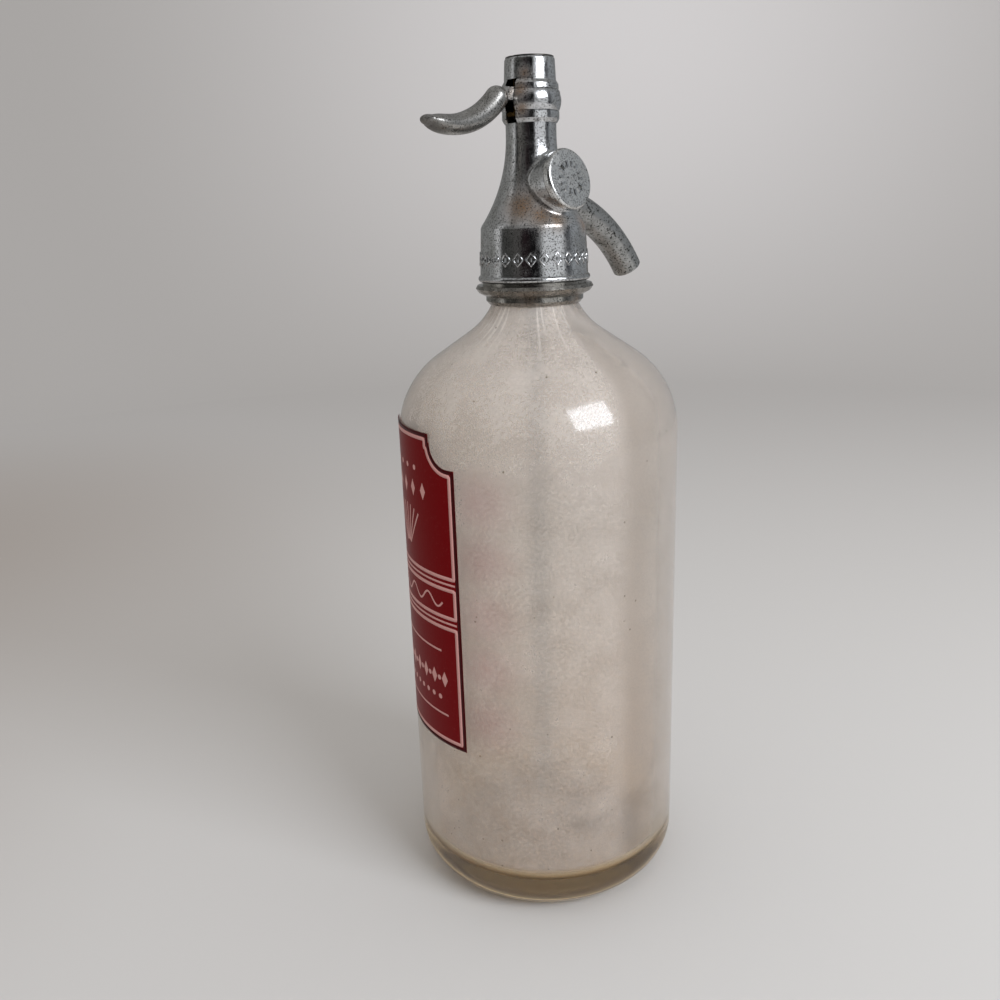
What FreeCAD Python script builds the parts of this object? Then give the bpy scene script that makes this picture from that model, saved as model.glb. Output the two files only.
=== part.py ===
import FreeCAD, Part
import Sketcher
import math
import os
import re

# Soda siphon: a thick glass bottle with a cast and plated head, pressed by a finger lever.
# Millimetres. The origin is the middle of the foot, +Z is up, the lever points to -X,
# the spout to +X and the round side cap to -Y.

doc = FreeCAD.newDocument("SodaSiphon")
sheet = doc.addObject("Spreadsheet::Sheet", "Dims")

# Driving sizes. Heights of the head's pieces are counted up from the foot of its skirt.
SIZES = [
    # Glass bottle
    ("body_radius", 50.0),
    ("wall", 6.5),
    ("base_thickness", 11.0),
    ("heel_radius", 14.0),
    ("inner_heel_radius", 8.0),
    ("foot_width", 5.0),
    ("punt_depth", 2.0),
    ("shoulder_level", 172.0),
    ("shoulder_radius", 33.0),
    ("shoulder_angle", 56.0),
    ("neck_radius", 12.4),
    ("neck_sweep", 25.0),
    ("neck_straight", 1.6),
    ("neck_bore", 8.6),
    ("inner_sweep", 14.0),
    ("lip_overhang", 2.6),
    ("lip_height", 4.0),
    ("lip_round", 1.0),
    ("gasket_thickness", 1.8),
    # Split collar under the bottle's lip
    ("skirt_overlap", 5.2),
    ("collar_drop", 7.6),
    ("collar_fit", 0.15),
    ("collar_foot_wall", 0.6),
    ("collar_lip_radius", 16.9),
    ("collar_lip_low", 6.4),
    ("collar_lip_high", 4.9),
    ("flange_under_slope", 1.1),
    ("flange_under", 3.7),
    ("flange_overhang", 1.75),
    ("flange_level", 2.2),
    ("flange_top_slope", 0.6),
    ("flange_top", 1.1),
    ("flange_ledge", 1.8),
    ("lip_room", 1.1),
    ("seam_angle", 0.6),
    ("seam_direction", 214.5),
    # Clearances
    ("thread_fit", 0.1),
    ("running_fit", 0.05),
    ("stem_fit", 0.1),
    ("seat_gap", 0.05),
    ("soft_gap", 0.1),
    ("rest_gap", 0.3),
    ("tube_clearance", 0.3),
    # Head casting
    ("bead_bulge", 0.7),
    ("bead_height", 2.1),
    ("skirt_wall", 1.75),
    ("skirt_taper", 0.7),
    ("skirt_height", 17.7),
    ("bell_step", 0.9),
    ("bell_sweep", 50.0),
    ("neck_land", 3.2),
    ("head_neck_radius", 8.45),
    ("head_height", 50.6),
    ("outlet_height", 28.4),
    ("outlet_bore", 3.4),
    ("outlet_rise", 5.2),
    ("packing_bore", 6.0),
    ("holder_depth", 3.2),
    ("chamber_radius", 6.5),
    ("seat_drop", 7.05),
    ("seat_thickness", 1.95),
    ("boss_radius", 8.9),
    ("boss_reach", 14.5),
    ("boss_tilt", 14.1),
    ("boss_blend", 2.5),
    ("cap_bore", 5.5),
    ("cap_bore_depth", 6.3),
    ("port_radius", 2.2),
    ("socket_radius", 7.6),
    ("socket_reach", 15.5),
    ("socket_depth", 7.0),
    # Side cap and its washer
    ("cap_radius", 9.92),
    ("cap_thickness", 2.9),
    ("cap_edge", 1.1),
    ("cap_crown", 0.35),
    ("cap_shank", 5.4),
    ("cap_washer_radius", 8.5),
    ("cap_washer_thickness", 0.6),
    ("spanner_hole_radius", 0.9),
    ("spanner_hole_ring", 4.6),
    ("spanner_hole_depth", 1.3),
    ("spanner_hole_turn", 43.0),
    # Spout
    ("spout_radius", 5.33),
    ("spout_bore", 4.1),
    ("spout_tilt", 12.0),
    ("spout_lead", 1.2),
    ("spout_bend", 59.0),
    ("spout_end_angle", 55.3),
    ("spout_relief", 0.35),
    # Ferrule
    ("ferrule_foot_radius", 8.75),
    ("ferrule_bead_radius", 9.5),
    ("ferrule_bead_low", 0.9),
    ("ferrule_bead_high", 3.4),
    ("ferrule_band_low", 10.4),
    ("ferrule_band_high", 11.8),
    ("ferrule_groove", 0.2),
    ("ferrule_bulge_radius", 6.8),
    ("barrel_foot_radius", 8.57),
    ("barrel_foot", 13.0),
    ("barrel_top_radius", 8.26),
    ("barrel_height", 19.8),
    ("barrel_edge", 0.5),
    ("ferrule_bore", 5.6),
    ("ferrule_floor", 0.2),
    ("spigot_gap", 3.0),
    ("spigot_bore", 4.4),
    ("slot_clearance", 0.4),
    ("slot_rise", 4.2),
    # Top plug
    ("plug_radius", 7.9),
    ("plug_shank", 3.8),
    ("plug_rise", 1.0),
    ("plug_slot_width", 1.2),
    ("plug_slot_depth", 0.7),
    # Lever
    ("pivot_offset", 6.6),
    ("pivot_height", 9.1),
    ("pivot_pin_radius", 1.2),
    ("pivot_pin_length", 12.4),
    ("eye_radius", 1.9),
    ("eye_room", 0.45),
    ("pocket_room", 0.85),
    ("pocket_step", 0.7),
    ("tongue_width", 3.4),
    ("tongue_drop", 2.3),
    ("tongue_rise", 1.55),
    ("cheek_step", 0.6),
    ("cheek_edge", 9.0),
    ("cheek_hollow", 0.8),
    ("cheek_bend", 7.0),
    ("cheek_slope", 2.2),
    ("lever_arc", 29.0),
    ("lever_low_reach", 36.0),
    ("lever_low_height", -1.25),
    ("lever_knuckle_angle", 45.0),
    ("lever_tip_angle", 15.0),
    ("knuckle_oval", 0.08),
    ("knuckle_half_height", 3.72),
    ("pad_half_width", 4.5),
    ("pad_half_height", 2.75),
    ("tip_half_width", 3.5),
    ("tip_half_height", 1.6),
    ("tip_length", 2.7),
    # Plunger and the valve on its lower end
    ("stem_radius", 1.75),
    ("plug_gap", 1.1),
    ("yoke_bridge", 1.2),
    ("yoke_room", 0.4),
    ("yoke_clearance", 0.2),
    ("thrust_pin_radius", 1.25),
    ("collar_height", 1.2),
    ("stem_collar_radius", 2.5),
    ("stem_tail", 0.5),
    ("seat_bore", 3.1),
    ("seat_nose_radius", 4.1),
    ("seat_nose_height", 0.4),
    ("valve_washer_radius", 5.2),
    ("valve_washer_thickness", 2.5),
    ("retainer_flats", 6.0),
    ("retainer_thickness", 2.5),
    # Packing, gland and spring
    ("packing_thickness", 2.1),
    ("gland_thickness", 3.2),
    ("gland_slot", 1.2),
    ("spring_wire", 0.8),
    ("spring_radius", 3.3),
    ("spring_turns", 7.5),
    # Dip tube and its holder
    ("holder_room", 0.6),
    ("holder_drop", 5.0),
    ("holder_step", 1.0),
    ("holder_lip", 1.0),
    ("holder_rise", 1.5),
    ("sleeve_thickness", 1.6),
    ("tube_radius", 3.5),
    ("tube_bore", 2.3),
    ("tube_foot_gap", 6.0),
    ("tube_slant", 18.0),
]
NAMES = [name for name, size in SIZES]

for row, (name, size) in enumerate(SIZES, start=1):
    sheet.set(f"A{row}", name)
    sheet.set(f"B{row}", str(size))
    sheet.setAlias(f"B{row}", name)
doc.recompute()


def words(text):
    """An expression over the sheet's aliases."""
    return re.sub(r"[a-z_]+", lambda found: ("Dims." if found[0] in NAMES else "") + found[0], text)


def value(text):
    return float(sheet.evalExpression(text))


# Levels worked out from the sizes. Those of the bottle count from the table,
# the others from the foot of the head's skirt.
SLOPE = ("((body_radius - neck_radius - (shoulder_radius + neck_sweep) * (1 - cos(shoulder_angle)))"
         " / sin(shoulder_angle))")
NECK_FOOT = (f"(shoulder_level + (shoulder_radius + neck_sweep) * sin(shoulder_angle)"
             f" + {SLOPE} * cos(shoulder_angle))")
LIP_SEAT = f"({NECK_FOOT} + neck_straight)"
LIP_RADIUS = "(neck_radius + lip_overhang)"
SKIRT_FOOT = f"({LIP_SEAT} - skirt_overlap)"
GASKET_LOW = "(skirt_overlap + lip_height + soft_gap)"
CEILING = f"({GASKET_LOW} + gasket_thickness + soft_gap)"
THREAD_RADIUS = f"({LIP_RADIUS} + lip_room)"
SKIRT_TOP_RADIUS = f"({THREAD_RADIUS} + thread_fit + skirt_wall)"
SKIRT_LOW_RADIUS = f"({SKIRT_TOP_RADIUS} + skirt_taper)"
SEAT_LEVEL = "(outlet_height - seat_drop)"
SEAT_TOP = f"({SEAT_LEVEL} + seat_thickness)"
OUTLET_TOP = "(outlet_height + outlet_rise)"
BELL_FOOT = "(skirt_height + bell_step)"
BELL_TOP = "(head_height - neck_land)"
BELL_FOOT_RADIUS = ("(head_neck_radius + bell_sweep"
                    f" - sqrt(bell_sweep ^ 2 - ({BELL_TOP} - {BELL_FOOT}) ^ 2))")
PIVOT = "(head_height + pivot_height)"
TONGUE_LOW = f"({PIVOT} - tongue_drop)"
THRUST_PIN = f"({TONGUE_LOW} - rest_gap - thrust_pin_radius)"
YOKE_LOW = f"({THRUST_PIN} - thrust_pin_radius - yoke_room)"
PLUNGER_LOW = f"({YOKE_LOW} - yoke_bridge)"
PLUNGER_TOP = "(head_height + barrel_height - plug_shank - plug_gap)"
YOKE_HIGH = f"({PLUNGER_TOP} - yoke_bridge)"
WASHER_TOP = f"({SEAT_LEVEL} - 2 * seat_gap)"
WASHER_LOW = f"({WASHER_TOP} - valve_washer_thickness)"
RETAINER_LOW = f"({WASHER_LOW} - seat_gap - retainer_thickness)"
STEM_LOW = f"({RETAINER_LOW} - stem_tail)"
GLAND_LOW = f"({OUTLET_TOP} + packing_thickness + 2 * seat_gap)"
GLAND_TOP = f"({GLAND_LOW} + gland_thickness)"
SPIGOT_LOW = f"({GLAND_TOP} + spigot_gap - head_height)"
BARREL_TOP = "(head_height + barrel_height)"
CHEEK_WIDTH = "(tongue_width + cheek_step)"


def outline(drawing, corners, closed=True):
    """Lines and arcs through corners given as expressions (across, up).

    A third entry bends the side that leaves a corner into an arc of that radius,
    turning left, or right where it starts with a minus sign.
    """
    points = [FreeCAD.Vector(value(corner[0]), value(corner[1]), 0) for corner in corners]
    ends = []
    for index, corner in enumerate(corners if closed else corners[:-1]):
        start = points[index]
        end = points[(index + 1) % len(points)]
        if len(corner) == 2:
            side = drawing.addGeometry(Part.LineSegment(start, end), False)
            ends.append((side, 1, 2))
            continue
        left = not corner[2].startswith("-")
        radius = corner[2].lstrip("-")
        chord = end - start
        rise = math.sqrt(max(value(radius) ** 2 - (chord.Length / 2) ** 2, 0))
        across = FreeCAD.Vector(-chord.y, chord.x, 0).normalize()
        centre = (start + end) / 2 + across * (rise if left else -rise)
        first, last = (start, end) if left else (end, start)
        circle = Part.Circle(centre, FreeCAD.Vector(0, 0, 1), value(radius))
        low = math.atan2(first.y - centre.y, first.x - centre.x)
        high = math.atan2(last.y - centre.y, last.x - centre.x)
        if high <= low:
            high += 2 * math.pi
        side = drawing.addGeometry(Part.ArcOfCircle(circle, low, high), False)
        ends.append((side, 1, 2) if left else (side, 2, 1))
        bend = drawing.addConstraint(Sketcher.Constraint("Radius", side, value(radius)))
        drawing.setExpression(f"Constraints[{bend}]", words(radius))
    for index, (side, start, end) in enumerate(ends):
        if closed or index:
            before, _, before_end = ends[index - 1]
            drawing.addConstraint(Sketcher.Constraint("Coincident", before, before_end, side, start))
        place(drawing, side, start, corners[index])
    if not closed:
        place(drawing, ends[-1][0], ends[-1][2], corners[-1])


def place(drawing, geometry, point, corner):
    """Hold one point of a sketch at its two expressions."""
    for kind, axis, text in (("DistanceX", -2, corner[0]), ("DistanceY", -1, corner[1])):
        if text == "0":
            drawing.addConstraint(Sketcher.Constraint("PointOnObject", geometry, point, axis))
            continue
        index = drawing.addConstraint(Sketcher.Constraint(kind, -1, 1, geometry, point, value(text)))
        drawing.setExpression(f"Constraints[{index}]", words(text))


def circle(drawing, across, up, radius):
    """A full circle held at its centre and radius."""
    centre = FreeCAD.Vector(value(across), value(up), 0)
    ring = drawing.addGeometry(Part.Circle(centre, FreeCAD.Vector(0, 0, 1), value(radius)), False)
    place(drawing, ring, 3, (across, up))
    bend = drawing.addConstraint(Sketcher.Constraint("Radius", ring, value(radius)))
    drawing.setExpression(f"Constraints[{bend}]", words(radius))


def ellipse(drawing, half_width, half_height):
    """An ellipse about the sketch's origin, longer across than up."""
    wide = FreeCAD.Vector(value(half_width), 0, 0)
    high = FreeCAD.Vector(0, value(half_height), 0)
    ring = drawing.addGeometry(Part.Ellipse(wide, high, FreeCAD.Vector(0, 0, 0)), False)
    drawing.exposeInternalGeometry(ring)
    drawing.addConstraint(Sketcher.Constraint("Coincident", ring, 3, -1, 1))
    drawing.addConstraint(Sketcher.Constraint("Horizontal", ring + 1))
    for line, half in ((ring + 1, half_width), (ring + 2, half_height)):
        index = drawing.addConstraint(Sketcher.Constraint("Distance", line, 2 * value(half)))
        drawing.setExpression(f"Constraints[{index}]", words(f"2 * ({half})"))


def body(name, level=None):
    """An empty body, raised to a level where one is given."""
    part = doc.addObject("PartDesign::Body", name)
    part.Label = name
    if level:
        part.setExpression("Placement.Base.z", words(level))
    return part


def sketch(part, role, name, shift=("0", "0", "0"), axis=(0, 0, 1), turn="0"):
    """A sketch on an origin plane of its body, shifted and turned in the plane's own axes."""
    drawing = part.newObject("Sketcher::SketchObject", f"{part.Name}_{name}")
    plane = next(feature for feature in part.Origin.OriginFeatures if feature.Role == role)
    drawing.AttachmentSupport = (plane, [""])
    drawing.MapMode = "FlatFace"
    settle(drawing, shift, axis, turn)
    return drawing


def settle(thing, shift, axis, turn):
    """Bind an attached object's offset from its plane."""
    start = FreeCAD.Vector(*[value(text) for text in shift])
    thing.AttachmentOffset = FreeCAD.Placement(start, FreeCAD.Rotation(FreeCAD.Vector(*axis), value(turn)))
    for letter, text in zip("xyz", shift):
        if text != "0":
            thing.setExpression(f"AttachmentOffset.Base.{letter}", words(text))
    if turn != "0":
        thing.setExpression("AttachmentOffset.Rotation.Angle", words(turn))


def feature(part, kind, name, profile, **settings):
    """A sketch-based feature. One that cuts must take some volume away."""
    cuts = kind in ("Pocket", "Groove")
    if cuts:
        doc.recompute()
        before = part.Tip.Shape.Volume
    made = part.newObject(f"PartDesign::{kind}", f"{part.Name}_{name}")
    made.Profile = profile
    for key, setting in settings.items():
        if key in ("Length", "Angle"):
            made.setExpression(key, words(setting))
        else:
            setattr(made, key, setting)
    if cuts:
        doc.recompute()
        if made.Shape.Volume > before - 0.01:
            raise RuntimeError(f"{made.Name} cuts nothing")
    return made


def revolve(part, name, corners, kind="Revolution", **settings):
    """Turn an outline drawn in the XZ plane about the body's Z axis."""
    drawing = sketch(part, "XZ_Plane", f"{name}_outline")
    outline(drawing, corners)
    axis = (drawing, ["V_Axis"])
    return feature(part, kind, name, drawing, ReferenceAxis=axis, **settings)


def disc(name, level, inner, outer, low, high):
    """A plain turned ring or disc."""
    part = body(name, level)
    revolve(part, "ring", [(inner, low), (outer, low), (outer, high), (inner, high)])
    return part


# Glass bottle: one revolve of its whole wall
ARC_ACROSS = "(body_radius - shoulder_radius)"
INNER_ARC = "(shoulder_radius - wall)"
INNER_SLOPE_RADIUS = f"({ARC_ACROSS} + {INNER_ARC} * cos(shoulder_angle))"
INNER_SLOPE_LEVEL = f"(shoulder_level + {INNER_ARC} * sin(shoulder_angle))"
INNER_CORNER = (f"({INNER_SLOPE_LEVEL} + ({INNER_SLOPE_RADIUS} - neck_bore)"
                " / tan(shoulder_angle))")
SWEEP_TANGENT = "(inner_sweep * tan(shoulder_angle / 2))"
LIP_TOP = f"({LIP_SEAT} + lip_height)"
FLOOR_RADIUS = "(body_radius - wall - inner_heel_radius)"

FOOT_RADIUS = "(body_radius - heel_radius - foot_width)"

bottle = body("glass_bottle")
revolve(bottle, "wall", [
    ("0", "punt_depth", f"-({FOOT_RADIUS} ^ 2 + punt_depth ^ 2) / (2 * punt_depth)"),
    (FOOT_RADIUS, "0"),
    ("body_radius - heel_radius", "0", "heel_radius"),
    ("body_radius", "heel_radius"),
    ("body_radius", "shoulder_level", "shoulder_radius"),
    (f"{ARC_ACROSS} + shoulder_radius * cos(shoulder_angle)",
     "shoulder_level + shoulder_radius * sin(shoulder_angle)"),
    ("neck_radius + neck_sweep * (1 - cos(shoulder_angle))",
     f"{NECK_FOOT} - neck_sweep * sin(shoulder_angle)", "-neck_sweep"),
    ("neck_radius", NECK_FOOT),
    ("neck_radius", LIP_SEAT),
    (f"{LIP_RADIUS} - lip_round", LIP_SEAT, "lip_round"),
    (LIP_RADIUS, f"{LIP_SEAT} + lip_round"),
    (LIP_RADIUS, f"{LIP_TOP} - lip_round", "lip_round"),
    (f"{LIP_RADIUS} - lip_round", LIP_TOP),
    ("neck_bore + lip_round", LIP_TOP, "lip_round"),
    ("neck_bore", f"{LIP_TOP} - lip_round"),
    ("neck_bore", f"{INNER_CORNER} + {SWEEP_TANGENT}", "inner_sweep"),
    (f"neck_bore + {SWEEP_TANGENT} * sin(shoulder_angle)",
     f"{INNER_CORNER} - {SWEEP_TANGENT} * cos(shoulder_angle)"),
    (INNER_SLOPE_RADIUS, INNER_SLOPE_LEVEL, f"-{INNER_ARC}"),
    ("body_radius - wall", "shoulder_level"),
    ("body_radius - wall", "base_thickness + inner_heel_radius", "-inner_heel_radius"),
    (FLOOR_RADIUS, "base_thickness", f"({FLOOR_RADIUS} ^ 2 + punt_depth ^ 2) / (2 * punt_depth)"),
    ("0", "base_thickness + punt_depth"),
])

# Split collar: two like halves under the lip, parted at two upright seams
NECK_FOOT_LOCAL = "(skirt_overlap - neck_straight)"
COLLAR_INNER_ARC = "(neck_sweep - collar_fit)"
COLLAR_FOOT_BORE = (f"(neck_radius + neck_sweep - sqrt({COLLAR_INNER_ARC} ^ 2"
                    f" - ({NECK_FOOT_LOCAL} + collar_drop) ^ 2))")
COLLAR_TOP = "(skirt_overlap - soft_gap)"
FLANGE_RADIUS = f"({SKIRT_LOW_RADIUS} + flange_overhang)"
FLANGE_TOP_RADIUS = f"({FLANGE_RADIUS} - flange_top_slope)"

for name, turn in (("collar_half_front", "seam_direction"), ("collar_half_back", "seam_direction - 180")):
    half = body(name, SKIRT_FOOT)
    revolve(half, "ring", [
        (COLLAR_FOOT_BORE, "-collar_drop"),
        (f"{COLLAR_FOOT_BORE} + collar_foot_wall", "-collar_drop"),
        ("collar_lip_radius", "-collar_lip_low"),
        ("collar_lip_radius", "-collar_lip_high"),
        (f"{FLANGE_RADIUS} - flange_under_slope", "-flange_under"),
        (FLANGE_RADIUS, "-flange_level"),
        (FLANGE_TOP_RADIUS, "-flange_top"),
        (f"{FLANGE_TOP_RADIUS} - flange_ledge", "-flange_top"),
        (f"{FLANGE_TOP_RADIUS} - flange_ledge", "-soft_gap"),
        (THREAD_RADIUS, "-soft_gap"),
        (THREAD_RADIUS, COLLAR_TOP),
        ("neck_radius + collar_fit", COLLAR_TOP),
        ("neck_radius + collar_fit", NECK_FOOT_LOCAL, COLLAR_INNER_ARC),
    ], Angle="180 - seam_angle")
    half.setExpression("Placement.Rotation.Angle", words(f"{turn} + seam_angle / 2"))

# Rubber ring between the bottle's lip and the head
HOLDER_RADIUS = "(neck_bore - holder_room)"
disc("neck_gasket", SKIRT_FOOT, f"{HOLDER_RADIUS} + tube_clearance", f"{LIP_RADIUS} - soft_gap",
     GASKET_LOW, f"{GASKET_LOW} + gasket_thickness")

# Head casting: skirt, bell and neck in one revolve, two bosses, then the bores
CAP_AXIS = (1, 0, 0)
CAP_TURN = "90 - boss_tilt"
SPOUT_AXIS = (0, 1, 0)
SPOUT_TURN = "90 + spout_tilt"


def across_boss(part, name, distance, to_spout=False):
    """A sketch square to the cap's or the spout's axis, at a distance along it."""
    if to_spout:
        shift = (f"({distance}) * cos(spout_tilt)", "0", f"outlet_height - ({distance}) * sin(spout_tilt)")
        return sketch(part, "XY_Plane", name, shift, SPOUT_AXIS, SPOUT_TURN)
    shift = ("0", f"-({distance}) * cos(boss_tilt)", f"outlet_height + ({distance}) * sin(boss_tilt)")
    return sketch(part, "XY_Plane", name, shift, CAP_AXIS, CAP_TURN)


head = body("head_body", SKIRT_FOOT)
revolve(head, "shell", [
    ("0", "0"),
    (SKIRT_LOW_RADIUS, "0", "((bead_height / 2) ^ 2 + bead_bulge ^ 2) / (2 * bead_bulge)"),
    (SKIRT_LOW_RADIUS, "bead_height"),
    (SKIRT_TOP_RADIUS, "skirt_height"),
    (BELL_FOOT_RADIUS, BELL_FOOT, "-bell_sweep"),
    ("head_neck_radius", BELL_TOP),
    ("head_neck_radius", "head_height"),
    ("0", "head_height"),
])


def boss(name, radius, reach, to_spout=False):
    """A round boss from the head's axis outwards."""
    drawing = across_boss(head, f"{name}_circle", "0", to_spout)
    circle(drawing, "0", "0", radius)
    feature(head, "Pad", name, drawing, Length=reach)
    doc.recompute()


def blend_edges(shape):
    """Names of the curved edges where a round boss runs into the bell."""
    return [f"Edge{number}" for number, edge in enumerate(shape.Edges, start=1)
            if isinstance(edge.Curve, Part.BSplineCurve)]


boss("cap_boss", "boss_radius", "boss_reach")
blend = head.newObject("PartDesign::Fillet", "head_body_cap_boss_blend")
blend.Base = (blend.BaseFeature, blend_edges(blend.BaseFeature.Shape))
blend.setExpression("Radius", words("boss_blend"))
doc.recompute()
boss("spout_socket", "socket_radius", "socket_reach", to_spout=True)

revolve(head, "bores", [
    ("0", "-flange_top"),
    (f"{THREAD_RADIUS} + thread_fit", "-flange_top"),
    (f"{THREAD_RADIUS} + thread_fit", CEILING),
    (f"{HOLDER_RADIUS} + thread_fit", CEILING),
    (f"{HOLDER_RADIUS} + thread_fit", f"{CEILING} + holder_depth"),
    ("chamber_radius", f"{CEILING} + holder_depth"),
    ("chamber_radius", SEAT_LEVEL),
    ("packing_bore", SEAT_LEVEL),
    ("packing_bore", SEAT_TOP),
    ("outlet_bore", SEAT_TOP),
    ("outlet_bore", OUTLET_TOP),
    ("packing_bore", OUTLET_TOP),
    ("packing_bore", "head_height + flange_top"),
    ("0", "head_height + flange_top"),
], kind="Groove")

for name, radius, start, length, to_spout in (
        ("cap_bore", "cap_bore", "boss_reach - cap_bore_depth", "2 * cap_bore_depth", False),
        ("cap_port", "port_radius", "0", "boss_reach", False),
        ("spout_bore", "spout_radius + thread_fit / 2", "socket_reach - socket_depth",
         "2 * socket_depth", True),
        ("spout_relief", "spout_radius + spout_relief", "socket_reach", "socket_depth", True),
        ("spout_port", "outlet_bore - thread_fit", "0", "socket_reach", True)):
    drawing = across_boss(head, f"{name}_circle", start, to_spout)
    circle(drawing, "0", "0", radius)
    feature(head, "Pocket", name, drawing, Length=length, Reversed=True)

# Side cap: a crowned disc with two spanner holes, on a shank that closes the boss
CAP_LOW = "(boss_reach + cap_washer_thickness + 2 * seat_gap)"
CAP_FACE = f"({CAP_LOW} + cap_thickness)"
CAP_FLAT = "(cap_radius - cap_edge)"


def on_cap_axis(part):
    """Stand a body on the side boss's axis."""
    part.setExpression("Placement.Base.z", words(f"{SKIRT_FOOT} + outlet_height"))
    part.Placement.Rotation = FreeCAD.Rotation(FreeCAD.Vector(*CAP_AXIS), value(CAP_TURN))
    part.setExpression("Placement.Rotation.Angle", words(CAP_TURN))


cap = body("side_cap")
revolve(cap, "disc", [
    ("0", "boss_reach - cap_shank"),
    ("cap_bore - thread_fit", "boss_reach - cap_shank"),
    ("cap_bore - thread_fit", CAP_LOW),
    ("cap_radius - cap_edge / 2", CAP_LOW, "cap_edge / 2"),
    ("cap_radius", f"{CAP_LOW} + cap_edge / 2"),
    ("cap_radius", f"{CAP_FACE} - cap_edge", "cap_edge"),
    (CAP_FLAT, CAP_FACE, f"({CAP_FLAT} ^ 2 + cap_crown ^ 2) / (2 * cap_crown)"),
    ("0", f"{CAP_FACE} + cap_crown"),
])
drawing = sketch(cap, "XY_Plane", "spanner_holes", ("0", "0", f"{CAP_FACE} + cap_crown"))
for way, other in (("", "-"), ("-", "")):
    circle(drawing, f"{way}spanner_hole_ring * cos(spanner_hole_turn)",
           f"{other}spanner_hole_ring * sin(spanner_hole_turn)", "spanner_hole_radius")
feature(cap, "Pocket", "spanner_holes_cut", drawing, Length="spanner_hole_depth + cap_crown")
on_cap_axis(cap)

cap_washer = disc("side_cap_washer", None, "cap_bore", "cap_washer_radius",
                  "boss_reach + seat_gap", "boss_reach + seat_gap + cap_washer_thickness")
on_cap_axis(cap_washer)

# Spout: a straight root in its socket, then one bend down to the mouth
ROOT = "(socket_reach - socket_depth + soft_gap)"
spout = body("spout_tube", SKIRT_FOOT)
path = sketch(spout, "XZ_Plane", "path")
STRAIGHT = "(socket_reach - spout_lead)"
BEND_START = (f"{STRAIGHT} * cos(spout_tilt)", f"outlet_height - {STRAIGHT} * sin(spout_tilt)")
outline(path, [
    (f"{ROOT} * cos(spout_tilt)", f"outlet_height - {ROOT} * sin(spout_tilt)"),
    BEND_START + ("-spout_bend",),
    (f"{BEND_START[0]} + spout_bend * (sin(spout_end_angle) - sin(spout_tilt))",
     f"{BEND_START[1]} - spout_bend * (cos(spout_tilt) - cos(spout_end_angle))"),
], closed=False)
drawing = across_boss(spout, "wall", ROOT, True)
circle(drawing, "0", "0", "spout_radius")
circle(drawing, "0", "0", "spout_bore")
feature(spout, "AdditivePipe", "tube", drawing, Spine=(path, ["Edge1", "Edge2"]))

# Ferrule: the beaded barrel that the lever works in, on a spigot inside the neck
ferrule = body("ferrule", f"{SKIRT_FOOT} + head_height")
revolve(ferrule, "barrel", [
    ("ferrule_foot_radius", "0"),
    ("ferrule_bead_radius - ferrule_groove", "ferrule_bead_low"),
    ("ferrule_bead_radius", "ferrule_bead_low + 2 * ferrule_groove"),
    ("ferrule_bead_radius", "ferrule_bead_high"),
    ("ferrule_bead_radius - ferrule_groove", "ferrule_bead_high + ferrule_groove"),
    ("ferrule_bead_radius", "ferrule_bead_high + 2 * ferrule_groove", "ferrule_bulge_radius"),
    ("ferrule_bead_radius - ferrule_groove / 2", "ferrule_band_low - 2 * ferrule_groove"),
    ("ferrule_bead_radius - 1.5 * ferrule_groove", "ferrule_band_low - ferrule_groove"),
    ("ferrule_bead_radius - ferrule_groove / 2", "ferrule_band_low"),
    ("ferrule_bead_radius - ferrule_groove", "ferrule_band_high"),
    ("barrel_foot_radius", "barrel_foot"),
    ("barrel_top_radius", "barrel_height - barrel_edge", "2 * barrel_edge"),
    ("barrel_top_radius - barrel_edge / 2", "barrel_height"),
    ("ferrule_bore", "barrel_height"),
    ("ferrule_bore", "ferrule_floor"),
    ("spigot_bore", "ferrule_floor"),
    ("spigot_bore", SPIGOT_LOW),
    ("packing_bore - running_fit", SPIGOT_LOW),
    ("packing_bore - running_fit", "0"),
])
SLOT_TOP = "(pivot_height + slot_rise)"
drawing = sketch(ferrule, "XZ_Plane", "slot")
outline(drawing, [
    ("-2 * ferrule_bore", "-ferrule_bead_low"),
    ("-packing_bore + running_fit", "-ferrule_bead_low"),
    ("-packing_bore + running_fit", "ferrule_floor"),
    ("-ferrule_bore / 2", "ferrule_floor"),
    ("-ferrule_bore / 2", SLOT_TOP),
    ("-2 * ferrule_bore", SLOT_TOP),
])
feature(ferrule, "Pocket", "slot_cut", drawing, Length=f"{CHEEK_WIDTH} + slot_clearance", Midplane=True)
drawing = sketch(ferrule, "XZ_Plane", "eye_pocket")
outline(drawing, [
    ("0", "pivot_height - eye_radius - pocket_room"),
    ("ferrule_bore + pocket_step", "pivot_height - eye_radius - pocket_room"),
    ("ferrule_bore + pocket_step", "pivot_height + eye_radius + pocket_room"),
    ("0", "pivot_height + eye_radius + pocket_room"),
])
feature(ferrule, "Pocket", "eye_pocket_cut", drawing, Length="tongue_width + 2 * yoke_clearance", Midplane=True)
drawing = sketch(ferrule, "XZ_Plane", "eye_round")
circle(drawing, "pivot_offset", "pivot_height", "eye_radius + eye_room")
feature(ferrule, "Pocket", "eye_round_cut", drawing, Length="tongue_width + 2 * yoke_clearance", Midplane=True)
drawing = sketch(ferrule, "XZ_Plane", "pin_hole")
circle(drawing, "pivot_offset", "pivot_height", "pivot_pin_radius + running_fit / 2")
feature(ferrule, "Pocket", "pin_hole_cut", drawing, Length="2 * pivot_pin_length", Midplane=True)

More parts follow.
